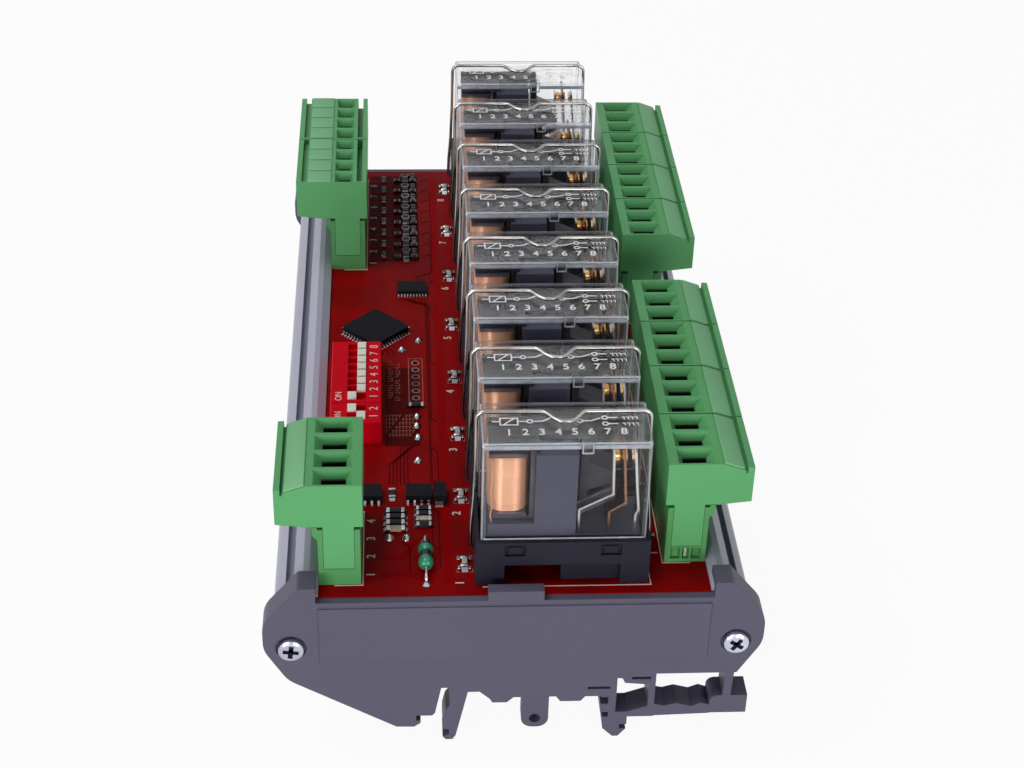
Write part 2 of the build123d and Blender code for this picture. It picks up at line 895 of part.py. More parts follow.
def make_main_chip():
    chip = Box(chip_side, chip_side, chip_height)
    chip = chamfer(chip.edges().filter_by(Axis.Z), 0.5)
    chip_x = spread([chip_side * 2 ** 0.5], [2.7, 8.1])[0]
    place = Pos(chip_x, from_front(chip_from_front), board_top + 0.1 + chip_height / 2)
    return place * Rotation(0, 0, 45) * chip


power_widths = (4.9, 1.3, 4.9, 2.5)
power_gaps = (6.2, 1.2, 1.9, 0.2, 1.9)


def make_small_chips():
    driver_x = spread([6.5], [14.35, 4.15])[0]
    left_x, diode_x, right_x, tall_x = spread(power_widths, power_gaps)
    return group([
        on_board(driver_x, overall_length - driver_from_rear, 6.5, 4.4, 1.0, 0.1),
        on_board(left_x, power_row, 4.9, 3.9, 1.5, 0.1),
        on_board(right_x, power_row, 4.9, 3.9, 1.5, 0.1),
        on_board(tall_x, power_row - 0.6, 2.5, 4.4, 2.1, 0.1),
    ])


def make_choke():
    """The green axial choke on its two bent leads."""
    lead = 0.3
    lift = 1.3
    body = Cylinder(1.0, 5.6, rotation=(90, 0, 0))
    for end in (-1, 1):
        body += Pos(0, end * 1.9, 0) * Sphere(1.3)
        body += Pos(0, end * 4.4, 0) * Cylinder(lead, 3.2, rotation=(90, 0, 0))
        body += Pos(0, end * 6.0, -lift / 2) * Box(2 * lead, 2 * lead, lift + 2 * lead)
    choke_x = spread([2.6], [17.6, 4.8])[0]
    return Pos(choke_x, from_front(left_near_first + 5.8), board_top + lift + lead) * body


def make_board_parts():
    solids = [make_choke()]
    for index in range(relay_count):
        start = relay_from_front(index) + lamp_from_relay
        solids.append(on_board(lamp_x(), start, lamp_width, 3.0, 1.1))
    columns = spread([1.5, 1.5, 1.5], [13.8, 0.45, 0.3, 5.9])
    for index in range(input_count):
        start = left_starts[1] + input_from_left_far + index * pole_pitch
        for x, wide, deep, high in zip(columns, (1.5, 1.5, 1.5), (1.25, 2.8, 1.25), (0.6, 1.0, 0.6)):
            solids.append(on_board(x, start, wide, deep, high))
    left_x, right_x = spread([3.2, 2.6], [12.0, 2.3, 4.9])
    for index in range(4):
        solids.append(on_board(left_x, power_row - 10.1 + index * 1.75, 3.2, 1.3, 0.6))
        solids.append(on_board(right_x, power_row - 9.1 + index * 1.6, 2.6, 1.2, 0.7))
    solids.append(on_board(hole_row_x(), hole_row_first - 2.8, 3.0, 1.3, 0.6))
    solids.append(on_board(spread(power_widths, power_gaps)[1], power_row + 0.4, 1.3, 2.6, 0.6))
    return group(solids)


def save(node, shape):
    export_step(shape, f"parts/{node}.step")


front_cap = make_front_cap()
save("profile_tray", make_profile())
save("end_cap_front", front_cap)
save("end_cap_rear", mirror(front_cap, about=Plane.XZ))
save("cap_screws", make_cap_screws())
save("circuit_board", make_board())

relay_places = [relay_place(index) for index in range(relay_count)]
cover = make_cover()
armature = make_armature()
for index, place in enumerate(relay_places, start=1):
    save(f"relay_cover_{index}", place * cover)
    save(f"relay_armature_{index}", place * armature)
shared_relay_pieces = {
    "relay_sockets": [make_socket()],
    "relay_bases": [make_relay_base()],
    "relay_yokes": [make_yoke()],
    "coil_bobbins": [make_bobbin()],
    "coil_windings": [make_winding()],
    "fixed_contacts": [make_closed_contact(), make_open_contact()],
    "spring_blades": [make_spring_blade()],
    "retaining_clips": [make_clip()],
}
for node, pieces in shared_relay_pieces.items():
    save(node, group([place * piece for place in relay_places for piece in pieces]))

clamp_screws = []
for number, start in enumerate(right_starts, start=1):
    save(f"plug_right_{number}", on_side(1, make_plug(3, start)))
    clamp_screws += [on_side(1, screw) for screw in make_clamp_screws(3, start)]
for number, start in enumerate(left_starts, start=1):
    save(f"plug_left_{number}", on_side(-1, make_plug(4, start, flat=number > 1)))
    clamp_screws += [on_side(-1, screw) for screw in make_clamp_screws(4, start)]
save("clamp_screws", group(clamp_screws))
save("headers_right_near", group([on_side(1, make_header(3, start)) for start in right_starts[:4]]))
save("headers_right_far", group([on_side(1, make_header(3, start)) for start in right_starts[4:]]))
save("headers_left_near", group([on_side(-1, make_header(4, start, False)) for start in left_starts[:1]]))
save("headers_left_far", group([on_side(-1, make_header(4, start, False)) for start in left_starts[1:]]))

switched_on = {2: [2], 8: [1]}
for bank in (2, 8):
    save(f"switch_bank_{bank}", make_switch_body(bank))
    for number in range(1, bank + 1):
        is_on = number in switched_on[bank]
        save(f"switch_slider_{bank}_{number}", make_slider(bank, number, is_on))

save("main_chip", make_main_chip())
save("small_chips", make_small_chips())
save("board_parts", make_board_parts())
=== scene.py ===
import math

import bmesh
import bpy
from mathutils import Matrix, Vector


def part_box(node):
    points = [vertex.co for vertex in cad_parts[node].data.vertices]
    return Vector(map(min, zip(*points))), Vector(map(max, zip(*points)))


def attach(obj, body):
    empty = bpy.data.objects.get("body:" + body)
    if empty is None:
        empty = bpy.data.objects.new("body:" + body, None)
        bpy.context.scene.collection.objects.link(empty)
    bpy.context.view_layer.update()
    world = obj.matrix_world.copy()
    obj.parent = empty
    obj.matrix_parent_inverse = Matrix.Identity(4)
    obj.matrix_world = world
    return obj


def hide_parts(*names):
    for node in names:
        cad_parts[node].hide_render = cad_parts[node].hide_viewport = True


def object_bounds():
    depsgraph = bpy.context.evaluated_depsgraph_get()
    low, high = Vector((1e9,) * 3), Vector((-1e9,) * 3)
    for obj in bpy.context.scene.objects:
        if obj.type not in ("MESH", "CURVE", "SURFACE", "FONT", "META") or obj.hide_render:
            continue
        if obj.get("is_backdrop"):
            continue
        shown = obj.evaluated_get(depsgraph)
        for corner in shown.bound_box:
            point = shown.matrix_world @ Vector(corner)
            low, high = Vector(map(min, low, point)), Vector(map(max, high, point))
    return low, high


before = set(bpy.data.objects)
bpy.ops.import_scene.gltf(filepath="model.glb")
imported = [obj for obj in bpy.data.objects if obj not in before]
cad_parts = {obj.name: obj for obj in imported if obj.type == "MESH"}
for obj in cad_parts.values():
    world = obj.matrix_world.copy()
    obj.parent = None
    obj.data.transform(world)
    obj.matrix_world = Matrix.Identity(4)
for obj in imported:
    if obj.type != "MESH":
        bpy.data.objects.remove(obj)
solid_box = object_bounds()
scene = bpy.context.scene
mm = 0.001


# The room: a pale floor under the card's feet and soft white light from above and in front, as
# on a photographer's table. The floor and the surroundings are white to the eye and to mirrors.
def tint(red, green, blue):
    """A colour given as it looks on a screen, 0 to 255, as the shader's linear colour."""
    linear = []
    for value in (red, green, blue):
        share = value / 255
        linear.append(share / 12.92 if share <= 0.04045 else ((share + 0.055) / 1.055) ** 2.4)
    return (*linear, 1.0)


def empty_material(name):
    material = bpy.data.materials.new(name)
    material.use_nodes = True
    material.node_tree.nodes.clear()
    return material, material.node_tree


def add(tree, kind, inputs, **settings):
    """A new shader node whose inputs are given constants or the outputs of other nodes."""
    node = tree.nodes.new(kind)
    for name, value in settings.items():
        setattr(node, name, value)
    for name, value in inputs.items():
        if isinstance(value, bpy.types.NodeSocket):
            tree.links.new(value, node.inputs[name])
        else:
            node.inputs[name].default_value = value
    return node


def calculate(tree, operation, *values):
    """The outcome of a sum on numbers and other nodes' outputs."""
    return add(tree, "ShaderNodeMath", dict(enumerate(values)), operation=operation).outputs[0]


def seen_directly(tree):
    """1 for rays from the eye, a mirror or clear plastic, and 0 for the light that the room gives."""
    path = add(tree, "ShaderNodeLightPath", {}).outputs
    seen = calculate(tree, "MAXIMUM", path["Is Camera Ray"], path["Is Glossy Ray"])
    return calculate(tree, "MAXIMUM", seen, path["Is Transmission Ray"])


floor_size = 6.0
floor_glow = 0.94
room_light = 0.18

half = floor_size / 2
floor_corners = [(-half, -half, 0), (half, -half, 0), (half, half, 0), (-half, half, 0)]
floor_mesh = bpy.data.meshes.new("floor")
floor_mesh.from_pydata(floor_corners, [], [(0, 1, 2, 3)])
floor = bpy.data.objects.new("floor", floor_mesh)
floor.location.z = solid_box[0][2]
scene.collection.objects.link(floor)
floor_paint, tree = empty_material("floor_paint")
matt = add(tree, "ShaderNodeBsdfDiffuse", {"Color": tint(238, 238, 240)}).outputs[0]
glow = add(tree, "ShaderNodeEmission", {}).outputs[0]
share = calculate(tree, "MULTIPLY", seen_directly(tree), floor_glow)
blend = add(tree, "ShaderNodeMixShader", {"Fac": share, 1: matt, 2: glow}).outputs[0]
add(tree, "ShaderNodeOutputMaterial", {"Surface": blend})
floor_mesh.materials.append(floor_paint)
floor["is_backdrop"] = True

world = bpy.data.worlds.new("studio")
scene.world = world
world.use_nodes = True
world.node_tree.nodes.clear()
strength = add(world.node_tree, "ShaderNodeMapRange", {
    "Value": seen_directly(world.node_tree),
    "To Min": room_light,
    "To Max": 1.0,
})
sky = add(world.node_tree, "ShaderNodeBackground", {"Strength": strength.outputs["Result"]})
add(world.node_tree, "ShaderNodeOutputWorld", {"Surface": sky.outputs[0]})

# Name, watts, size and place of each softbox. All of them face the middle of the card.
card_middle = Vector((0, 0, 0.02))
softboxes = [
    ("top_light", 4.6, 0.6, (-0.42, 0.02, 0.86)),
    ("front_light_left", 3.5, 0.3, (-0.40, -0.85, 0.16)),
    ("front_light_right", 2.5, 0.3, (0.35, -0.90, 0.16)),
]
for name, watts, size, place in softboxes:
    light = bpy.data.lights.new(name, "AREA")
    light.energy = watts
    light.size = size
    lamp = bpy.data.objects.new(name, light)
    lamp.location = place
    lamp.rotation_euler = (card_middle - Vector(place)).to_track_quat("-Z", "Y").to_euler()
    scene.collection.objects.link(lamp)


# The camera: it stands in front of the card, a little to its left and well above it, where the
# photographer's lens was. Its place and angles come from the card's own sizes in the picture.
camera_place = Vector((-20.64, -340.16, 249.09)) * mm
camera_yaw = math.radians(4.113)
camera_pitch = math.radians(34.087)
camera_roll = math.radians(-1.756)
ahead = Vector((
    math.sin(camera_yaw) * math.cos(camera_pitch),
    math.cos(camera_yaw) * math.cos(camera_pitch),
    -math.sin(camera_pitch),
))
level_right = ahead.cross(Vector((0, 0, 1))).normalized()
level_down = ahead.cross(level_right)
picture_right = math.cos(camera_roll) * level_right + math.sin(camera_roll) * level_down
picture_down = -math.sin(camera_roll) * level_right + math.cos(camera_roll) * level_down
lens = bpy.data.cameras.new("camera")
lens.sensor_width = 36.0
lens.lens = 68.69
lens.clip_start = 0.01
camera = bpy.data.objects.new("camera", lens)
turn = Matrix((picture_right, -picture_down, -ahead)).transposed()
camera.matrix_world = Matrix.Translation(camera_place) @ turn.to_4x4()
scene.collection.objects.link(camera)
scene.camera = camera
scene.view_settings.view_transform = "Standard"


# The profile tray: an extruded plastic rail, cut to length. Its skin has fine die lines along
# its run, and a soft satin sheen.
gloss_drift = 0.15
bump_distance = 0.1 * mm


def colour_ramp(tree, amount, *ends):
    """A node that goes by an amount from one (position, colour) to another."""
    ramp = add(tree, "ShaderNodeValToRGB", {"Fac": amount})
    for element, (position, colour) in zip(ramp.color_ramp.elements, ends):
        element.position = position
        element.color = colour
    return ramp


def surface(name, colour, rough, shade=0.9, grain=250.0, depth=0.04, edge=0.15, metal=0.0,
            stretch=(1, 1, 1), shine=0.2, dark=None):
    """A solid finish: colour and gloss that vary a little, a fine bump, and softened edges."""
    material, tree = empty_material(name)
    place = add(tree, "ShaderNodeTexCoord", {}).outputs["Object"]
    place = add(tree, "ShaderNodeMapping", {"Vector": place, "Scale": stretch}).outputs["Vector"]
    cloud = add(tree, "ShaderNodeTexNoise", {"Vector": place, "Scale": grain / 8, "Detail": 4}).outputs["Fac"]
    light = tint(*colour)
    deep = tint(*dark) if dark else (*[share * shade for share in light[:3]], 1)
    gloss = add(tree, "ShaderNodeMapRange", {
        "Value": cloud,
        "To Min": rough * (1 - gloss_drift),
        "To Max": min(1.0, rough * (1 + gloss_drift)),
    })
    fine = add(tree, "ShaderNodeTexNoise", {"Vector": place, "Scale": grain * 12})
    bump = add(tree, "ShaderNodeBump", {
        "Height": fine.outputs["Fac"],
        "Strength": depth,
        "Distance": bump_distance,
    })
    if edge:
        soft_edge = add(tree, "ShaderNodeBevel", {"Radius": edge * mm}, samples=4)
        tree.links.new(soft_edge.outputs["Normal"], bump.inputs["Normal"])
    shader = add(tree, "ShaderNodeBsdfPrincipled", {
        "Base Color": colour_ramp(tree, cloud, (0.3, deep), (0.7, light)).outputs["Color"],
        "Metallic": metal,
        "Roughness": gloss.outputs["Result"],
        "Specular IOR Level": shine,
        "Normal": bump.outputs["Normal"],
    })
    add(tree, "ShaderNodeOutputMaterial", {"Surface": shader.outputs[0]})
    return material


def finish(node, material):
    """Give a solid of the model its real finish."""
    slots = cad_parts[node].data.materials
    slots.clear()
    slots.append(material)


profile_plastic = surface("profile_plastic", (172, 172, 190), 0.38, 0.93, stretch=(1, 0.02, 1))
finish("profile_tray", profile_plastic)


# The end caps: injection moulded in one piece with their rail feet, in a darker, finely
# eroded matt grey than the profile that they close.
cap_plastic = surface("cap_plastic", (91, 88, 106), 0.46, 0.95, grain=400.0, depth=0.09, edge=0.2)
finish("end_cap_front", cap_plastic)
finish("end_cap_rear", cap_plastic)


# The cap screws: zinc plated pan heads with a cross recess, driven through each cap into the
# profile's bosses. A near-black cross sheet in each recess is painted shade.
def as_mesh(name, work):
    """Turn the points and faces that are gathered in work into a mesh."""
    mesh = bpy.data.meshes.new(name)
    work.to_mesh(mesh)
    work.free()
    return mesh


def fix_to_card(name, work, material, smooth=None):
    """Make what is in work a piece that rides with the card, smooth up to an angle if one is given."""
    mesh = as_mesh(name, work)
    if smooth:
        for face in mesh.polygons:
            face.use_smooth = True
        mesh.set_sharp_from_angle(angle=math.radians(smooth))
    mesh.materials.append(material)
    made = bpy.data.objects.new(name, mesh)
    scene.collection.objects.link(made)
    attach(made, "card")
    return made


def piece(name, mesh_maker, material, instead_of=(), smooth=35):
    """Make a mesh piece with its finish, in the place of the solids that it stands for."""
    work = bmesh.new()
    mesh_maker(work)
    bmesh.ops.recalc_face_normals(work, faces=work.faces)
    made = fix_to_card(name, work, material, smooth)
    if instead_of:
        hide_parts(*instead_of)


def skin(work, rings, ends=True):
    """The wall between rings of points that follow one another, and a face over each end."""
    for one, two in zip(rings, rings[1:]):
        for step in range(len(one)):
            after = (step + 1) % len(one)
            work.faces.new((one[step], one[after], two[after], two[step]))
    if ends:
        work.faces.new(list(reversed(rings[0])))
        work.faces.new(rings[-1])


def angles(count):
    """A number of angles, spread evenly round a circle."""
    return [2 * math.pi * step / count for step in range(count)]


def in_mm(points):
    return [(one * mm, other * mm) for one, other in points]


def lathe(work, profile, place, along, sides=24):
    """Turn a profile of (radius, height) points about an axis that starts at a place."""
    turned = Vector((0, 0, 1)).rotation_difference(Vector(along))
    rings = []
    for radius, height in profile:
        points = [Vector((radius * math.cos(a), radius * math.sin(a), height)) for a in angles(sides)]
        rings.append([work.verts.new(Vector(place) + turned @ point) for point in points])
    skin(work, rings)


def brick(work, centre, size, bevel=0.0, turn=None):
    """A block with bevelled edges, by its centre and size, turned about its centre."""
    earlier = set(work.verts)
    made = bmesh.ops.create_cube(work, size=1.0)["verts"]
    bmesh.ops.scale(work, vec=size, verts=made)
    if bevel:
        edges = list({edge for vert in made for edge in vert.link_edges})
        bmesh.ops.bevel(work, geom=edges, offset=bevel, segments=2, affect="EDGES", profile=0.5)
        made = [vert for vert in work.verts if vert not in earlier]
    if turn:
        bmesh.ops.rotate(work, cent=(0, 0, 0), matrix=turn, verts=made)
    bmesh.ops.translate(work, vec=centre, verts=made)


def metal_finish(name, dark, light, rough, edge=0.08):
    """A bare or plated metal whose shade drifts between two colours along the piece."""
    return surface(name, light, rough, grain=900.0, depth=0.05, edge=edge, metal=1.0, dark=dark)


plated_steel = metal_finish("plated_steel", (172, 174, 186), (226, 229, 242), rough=0.24)
shank_radius = 1.45 * mm
shank_length = 9.0 * mm
head_radius = 2.35 * mm
head_height = 1.7 * mm
recess_arm = 1.4 * mm
recess_width = 0.85 * mm
recess_depth = 1.0 * mm


def screw_template(profile, arms, arm_width, arm_depth, top):
    """One screw standing on its shank along Z, with a slot or a cross cut into its head."""
    head = bmesh.new()
    lathe(head, profile, (0, 0, 0), (0, 0, 1), sides=28)
    half = arm_width / 2
    corner = [(recess_arm, -half), (recess_arm, half)] + ([(half, half)] if arms == 4 else [])
    outline = []
    for quarter in range(0, 4, 4 // arms):
        turn = Matrix.Rotation(math.radians(90 * quarter), 2)
        outline += [turn @ Vector(point) for point in corner]
    recess = bmesh.new()
    ends = (top - arm_depth, top + arm_depth)
    skin(recess, [[recess.verts.new((x, y, z)) for x, y in outline] for z in ends])
    solids = []
    for name, work in (("blank", head), ("recess", recess)):
        bmesh.ops.recalc_face_normals(work, faces=work.faces)
        solids.append(bpy.data.objects.new(name, as_mesh(name, work)))
        scene.collection.objects.link(solids[-1])
    cut = solids[0].modifiers.new("cut", "BOOLEAN")
    cut.operation = "DIFFERENCE"
    cut.solver = "EXACT"
    cut.object = solids[1]
    ready = solids[0].evaluated_get(bpy.context.evaluated_depsgraph_get())
    template = bpy.data.meshes.new_from_object(ready)
    for leftover in solids:
        bpy.data.objects.remove(leftover)
    return template


def repeat(work, template, places):
    """Copy a template mesh to each (place, direction, turn in degrees)."""
    for place, along, roll in places:
        before = len(work.verts)
        work.from_mesh(template)
        work.verts.ensure_lookup_table()
        added = work.verts[before:]
        turn = Vector((0, 0, 1)).rotation_difference(Vector(along)).to_matrix()
        turn = turn @ Matrix.Rotation(math.radians(roll), 3, "Z")
        for vert in added:
            vert.co = Vector(place) + turn @ vert.co


pan_profile = [
    (shank_radius, -shank_length),
    (shank_radius, 0.0),
    (head_radius, 0.0),
    (head_radius, 1.0 * mm),
    (head_radius * 0.95, 1.35 * mm),
    (head_radius * 0.8, 1.6 * mm),
    (head_radius * 0.6, head_height),
]
pan_screw = screw_template(pan_profile, 4, recess_width, recess_depth, head_height)


def cap_screw_places():
    """Place, direction and turn of the two screws in each end cap."""
    low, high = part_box("cap_screws")
    seat = low.y + head_height
    middle_z = (low.z + high.z) / 2
    for side in (-1, 1):
        x = side * (high.x - head_radius)
        yield (x, seat, middle_z), (0, -1, 0), 24 + 31 * side
        yield (x, -seat, middle_z), (0, 1, 0), 10 - 50 * side


def cross_bottoms(work):
    """Near-black cross sheets in each cross recess, below its bright lip: painted shade of the recess."""
    cross = bmesh.new()
    clearance, tall = 0.04 * mm, 0.65 * mm
    long, wide = 2 * recess_arm - clearance, recess_width - clearance
    for size in ((long, wide, tall), (wide, long, tall)):
        brick(cross, (0, 0, head_height - recess_depth + tall / 2), size, bevel=0.02 * mm)
    repeat(work, as_mesh("cross", cross), cap_screw_places())


piece("cap_screw_heads", lambda work: repeat(work, pan_screw, cap_screw_places()), plated_steel,
      instead_of=["cap_screws"])
# Painted shade: the sheets in the screw recesses are coloured near black for the shade inside them.
painted_shade_recess = surface("painted_shade_recess", (34, 32, 52), 0.6, 0.8, grain=600.0, edge=0.0, shine=0.05)
piece("cap_screw_recess_shade", cross_bottoms, painted_shade_recess)


# The circuit board: glass fibre sheet under red solder resist. The copper shows through the
# resist as raised paths, with darker poured areas, and the printed lines are off-white ink.
def board_finish():
    """Red resist that is deeper in some places, over the weave of the glass cloth."""
    material, tree = empty_material("red_resist")
    place = add(tree, "ShaderNodeTexCoord", {}).outputs["Object"]
    drift = add(tree, "ShaderNodeTexNoise", {"Vector": place, "Scale": 60, "Detail": 5})
    reds = colour_ramp(tree, drift.outputs["Fac"], (0.36, tint(116, 2, 5)), (0.62, tint(144, 2, 6)))
    reds.color_ramp.interpolation = "EASE"
    weave = add(tree, "ShaderNodeTexWave", {"Vector": place, "Scale": 900, "Distortion": 1.5})
    bump = add(tree, "ShaderNodeBump", {
        "Height": weave.outputs["Fac"],
        "Strength": 0.05,
        "Distance": 0.05 * mm,
    })
    shader = add(tree, "ShaderNodeBsdfPrincipled", {
        "Base Color": reds.outputs["Color"],
        "Roughness": 0.42,
        "Specular IOR Level": 0.04,
        "Normal": bump.outputs["Normal"],
    })
    add(tree, "ShaderNodeOutputMaterial", {"Surface": shader.outputs[0]})
    return material


red_resist = board_finish()
finish("circuit_board", red_resist)
board_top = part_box("circuit_board")[1].z
covered_copper = surface("covered_copper", (150, 2, 6), 0.4, 0.85, grain=300.0, edge=0.0, shine=0.02)
sunk_copper = surface("sunk_copper", (84, 2, 5), 0.4, 0.85, grain=300.0, edge=0.0, shine=0.02)
dark_pour = surface("dark_pour", (80, 6, 10), 0.42, 0.85, grain=300.0, edge=0.0, shine=0.02)
printed_ink = surface("printed_ink", (226, 214, 206), 0.6, 0.88, grain=500.0, edge=0.0)
dim_ink = surface("dim_ink", (158, 104, 88), 0.6, 0.88, grain=500.0, edge=0.0, shine=0.1)
solder = metal_finish("solder", (96, 96, 100), (206, 206, 210), rough=0.2, edge=0.0)
track_height = 0.05 * mm
ink_height = 0.03 * mm
ink_low = board_top + track_height


def ribbon(work, points, width, low, height):
    """A flat strip of even width along points in X and Y, standing on the height low."""
    points = [Vector((x, y, 0)) for x, y in points]
    sections = []
    for index, point in enumerate(points):
        before = (point - points[index - 1]).normalized() if index else None
        after = (points[index + 1] - point).normalized() if index + 1 < len(points) else None
        run = ((before or after) + (after or before)).normalized()
        bend = max(0.5, run.dot(after or before))
        side = Vector((-run.y, run.x, 0)) * width / 2 / bend
        corners = ((side, low), (-side, low), (-side, low + height), (side, low + height))
        sections.append([work.verts.new(point + across + Vector((0, 0, z))) for across, z in corners])
    skin(work, sections)


panel_height = 0.3


def from_front(distance):
    """The Y of a place so many millimetres behind the flat face that the front cap's panel stands on."""
    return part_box("end_cap_front")[0].y + (distance + panel_height) * mm


def trace(work, points, width, height=track_height, low=board_top):
    """A ribbon on the board, its points given in millimetres as X and the distance from the front."""
    ribbon(work, [(x * mm, from_front(distance)) for x, distance in points], width * mm, low, height)


cover_nub = 0.5 * mm
relay_rows = [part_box(f"relay_cover_{n}") for n in range(1, 9)]
relay_middles = [((low.x + high.x) / 2, (low.y + cover_nub + high.y) / 2) for low, high in relay_rows]
lamp_places = [(-8.7 * mm, relay_y - 1.4 * mm) for _, relay_y in relay_middles]
driver_place = (-16.9 * mm, from_front(103.6))
pole_pitch = 5.08
input_rows = [117.6 + pole_pitch * index for index in range(8)]
header_sides = {
    "headers_left_near": 1,
    "headers_left_far": 1,
    "headers_right_near": -1,
    "headers_right_far": -1,
}


def wide_copper(work):
    """The broad feeds: one beside the relays, those of the supply terminal, and one to each input."""
    trace(work, [(-11.6, 4.0), (-11.6, 154.0)], 1.5)
    trace(work, [(-23.5, 7.0), (-17.5, 7.0), (-15.6, 5.2)], 1.2)
    trace(work, [(-23.5, 12.0), (-19.5, 12.0), (-17.6, 16.4), (-15.6, 16.4)], 1.0)
    for row in input_rows:
        trace(work, [(-26.0, row), (-21.5, row)], 0.5)


def copper_paths(work):
    """Eight paths from the driver chip to the relays' lamps, and the small chips' connections."""
    driver_x, driver_y = driver_place
    lane_end = -12.5 * mm
    for index, (_, relay_y) in enumerate(relay_middles):
        start_x = driver_x + (index - 3.5) * 0.65 * mm
        lane_x = (-14.2 + 0.26 * index) * mm
        ahead = mm if relay_y > driver_y else -mm
        leave_y = driver_y + ahead * (3.6 + 0.4 * index)
        turn_y = relay_y - ahead * 3.0
        points = [(start_x, driver_y + ahead * 2.8), (start_x, leave_y), (lane_x, leave_y + ahead * 1.5),
                  (lane_x, turn_y - ahead * 0.9), (lane_x + 0.9 * mm, turn_y), (lane_end, turn_y)]
        ribbon(work, points, 0.16 * mm, board_top, track_height)
    for row in input_rows:
        trace(work, [(-14.5, row), (-13.4, row + 1.0), (-12.6, row + 1.0)], 0.2)
    for index in range(4):
        x = -24.4 + 1.1 * index
        trace(work, [(x, 77.4), (x, 79.2), (x - 1.0, 80.4)], 0.2)
    for lane in range(6):
        x = -22.0 + 0.7 * lane
        trace(work, [(x, 33.5), (x, 40.0 + lane), (x + 2.2, 42.2 + lane), (x + 2.2, 47.0 + lane)], 0.2)
    for x, start, end in ((-13.0, 9.0, 25.0), (-12.7, 34.0, 44.0), (-18.4, 8.0, 15.0)):
        trace(work, [(x, start), (x, end), (x - 1.4, end + 1.4)], 0.2)


piece("board_wide_copper", wide_copper, covered_copper)
piece("board_copper_paths", copper_paths, sunk_copper)


def poured_areas(work):
    """Two darker fields of poured copper: beside the switches and under the input parts."""
    for x, start, wide, long in ((-19.4, 46.0, 6.8, 27.0), (-20.6, 116.0, 11.0, 40.0)):
        trace(work, [(x, start), (x, start + long)], wide, track_height / 2)


piece("board_dark_copper", poured_areas, dark_pour)


def printed_lines(work):
    """Outlines round the relay sockets and the terminal headers."""
    line, gap = 0.22 * mm, 0.3 * mm
    for relay_x, relay_y in relay_middles:
        left, right = relay_x - 14 * mm, relay_x + 15.7 * mm
        front, back = relay_y - 7.8 * mm, relay_y + 7.5 * mm
        ribbon(work, [(left, front), (right, front), (right, back)], line, ink_low, ink_height)
    for node, side in header_sides.items():
        low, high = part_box(node)
        x = (high.x if side > 0 else low.x) + side * gap
        inner = x - side * 5 * mm
        front, back = low.y - gap, high.y + gap
        ribbon(work, [(inner, front), (x, front), (x, back), (inner, back)], line, ink_low, ink_height)


piece("board_printed_lines", printed_lines, printed_ink)


def faint_lines(work):
    """Thinly inked outlines of the pin row and the lamps, and short strokes beside the chips."""
    line = 0.16

    def faint(points):
        trace(work, points, line, ink_height, ink_low)

    faint([(-18.0, 60.6), (-15.2, 60.6), (-15.2, 76.5), (-18.0, 76.5), (-18.0, 60.6)])
    for lamp_x, lamp_y in lamp_places:
        for side in (-1, 1):
            x = lamp_x + side * 1.35 * mm
            for end in (-1, 1):
                y = lamp_y + end * 2.3 * mm
                ribbon(work, [(x, y - end * 1.1 * mm), (x, y), (x - side * 0.5 * mm, y)],
                       line * mm, ink_low, ink_height)
    for column in range(2):
        for letter in range(17):
            if (letter * 3 + column) % 7:
                x, start, tall = -22.3 + 1.5 * column, 61.5 + 0.85 * letter, (0.95, 0.6, 0.95)[letter % 3]
                faint([(x, start), (x + tall, start), (x + tall, start + 0.45)])
    for row in range(6):
        for letter in range(10):
            if (letter * 5 + row * 3) % 8:
                x, start = -22.6 + 0.66 * letter, 49.0 + 1.3 * row
                faint([(x, start), (x, start + 0.8), (x + 0.4, start + 0.8)])


piece("board_faint_lines", faint_lines, dim_ink)


def lettering(name, marks, height, material, weight=0.012):
    """Plain figures printed flat, each a (text, place, turn in degrees), joined into one piece."""
    work = bmesh.new()
    for text, place, turn in marks:
        curve = bpy.data.curves.new("mark", "FONT")
        curve.body = text
        curve.size = height
        curve.align_x = "CENTER"
        curve.align_y = "CENTER"
        curve.extrude = ink_height / 2
        curve.offset = height * weight
        made = bpy.data.objects.new("mark", curve)
        mesh = bpy.data.meshes.new_from_object(made)
        mesh.transform(Matrix.Translation(place) @ Matrix.Rotation(math.radians(turn), 4, "Z"))
        work.from_mesh(mesh)
        bpy.data.objects.remove(made)
    bmesh.ops.remove_doubles(work, verts=work.verts, dist=0.002 * mm)
    fix_to_card(name, work, material)


figures = []
ink_z = ink_low + ink_height
for number, (relay_x, relay_y) in enumerate(relay_middles, start=1):
    figures.append((str(number), (relay_x - 17.9 * mm, relay_y - 6.6 * mm, ink_z), 90))
for node, side in header_sides.items():
    low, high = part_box(node)
    x = (high.x + 1.7 * mm) if side > 0 else (low.x - 1.5 * mm)
    poles = round((high.y - low.y) / (pole_pitch * mm))
    for pole in range(poles):
        y = low.y + (pole + 0.5) * (high.y - low.y) / poles
        figures.append((str(pole + 1), (x, y, ink_z), 90))
lettering("board_printed_figures", figures, 2.2 * mm, printed_ink)


def solder_joints(work):
    """Domed joints of the through-hole pins between the chips and near the supply terminal."""
    dome = in_mm([(0.95, 0.0), (0.85, 0.2), (0.5, 0.5), (0.22, 0.75), (0.05, 0.8)])
    for x, distance in ((-16.5, 55.8), (-16.6, 52.6), (-16.4, 48.7), (-16.5, 41.2), (-19.3, 80.0),
                        (-15.8, 83.4), (-22.1, 17.7), (-18.9, 17.6)):
        lathe(work, dome, (x * mm, from_front(distance), board_top), (0, 0, 1), sides=14)


def ring_at(work, place, inner, outer, thick):
    """A flat ring that lies on a place."""
    rows = []
    for radius, z in ((inner, 0), (outer, 0), (outer, thick), (inner, thick)):
        points = [Vector((radius * math.cos(a), radius * math.sin(a), z)) for a in angles(20)]
        rows.append([work.verts.new(Vector(place) + point) for point in points])
    skin(work, rows + rows[:1], ends=False)


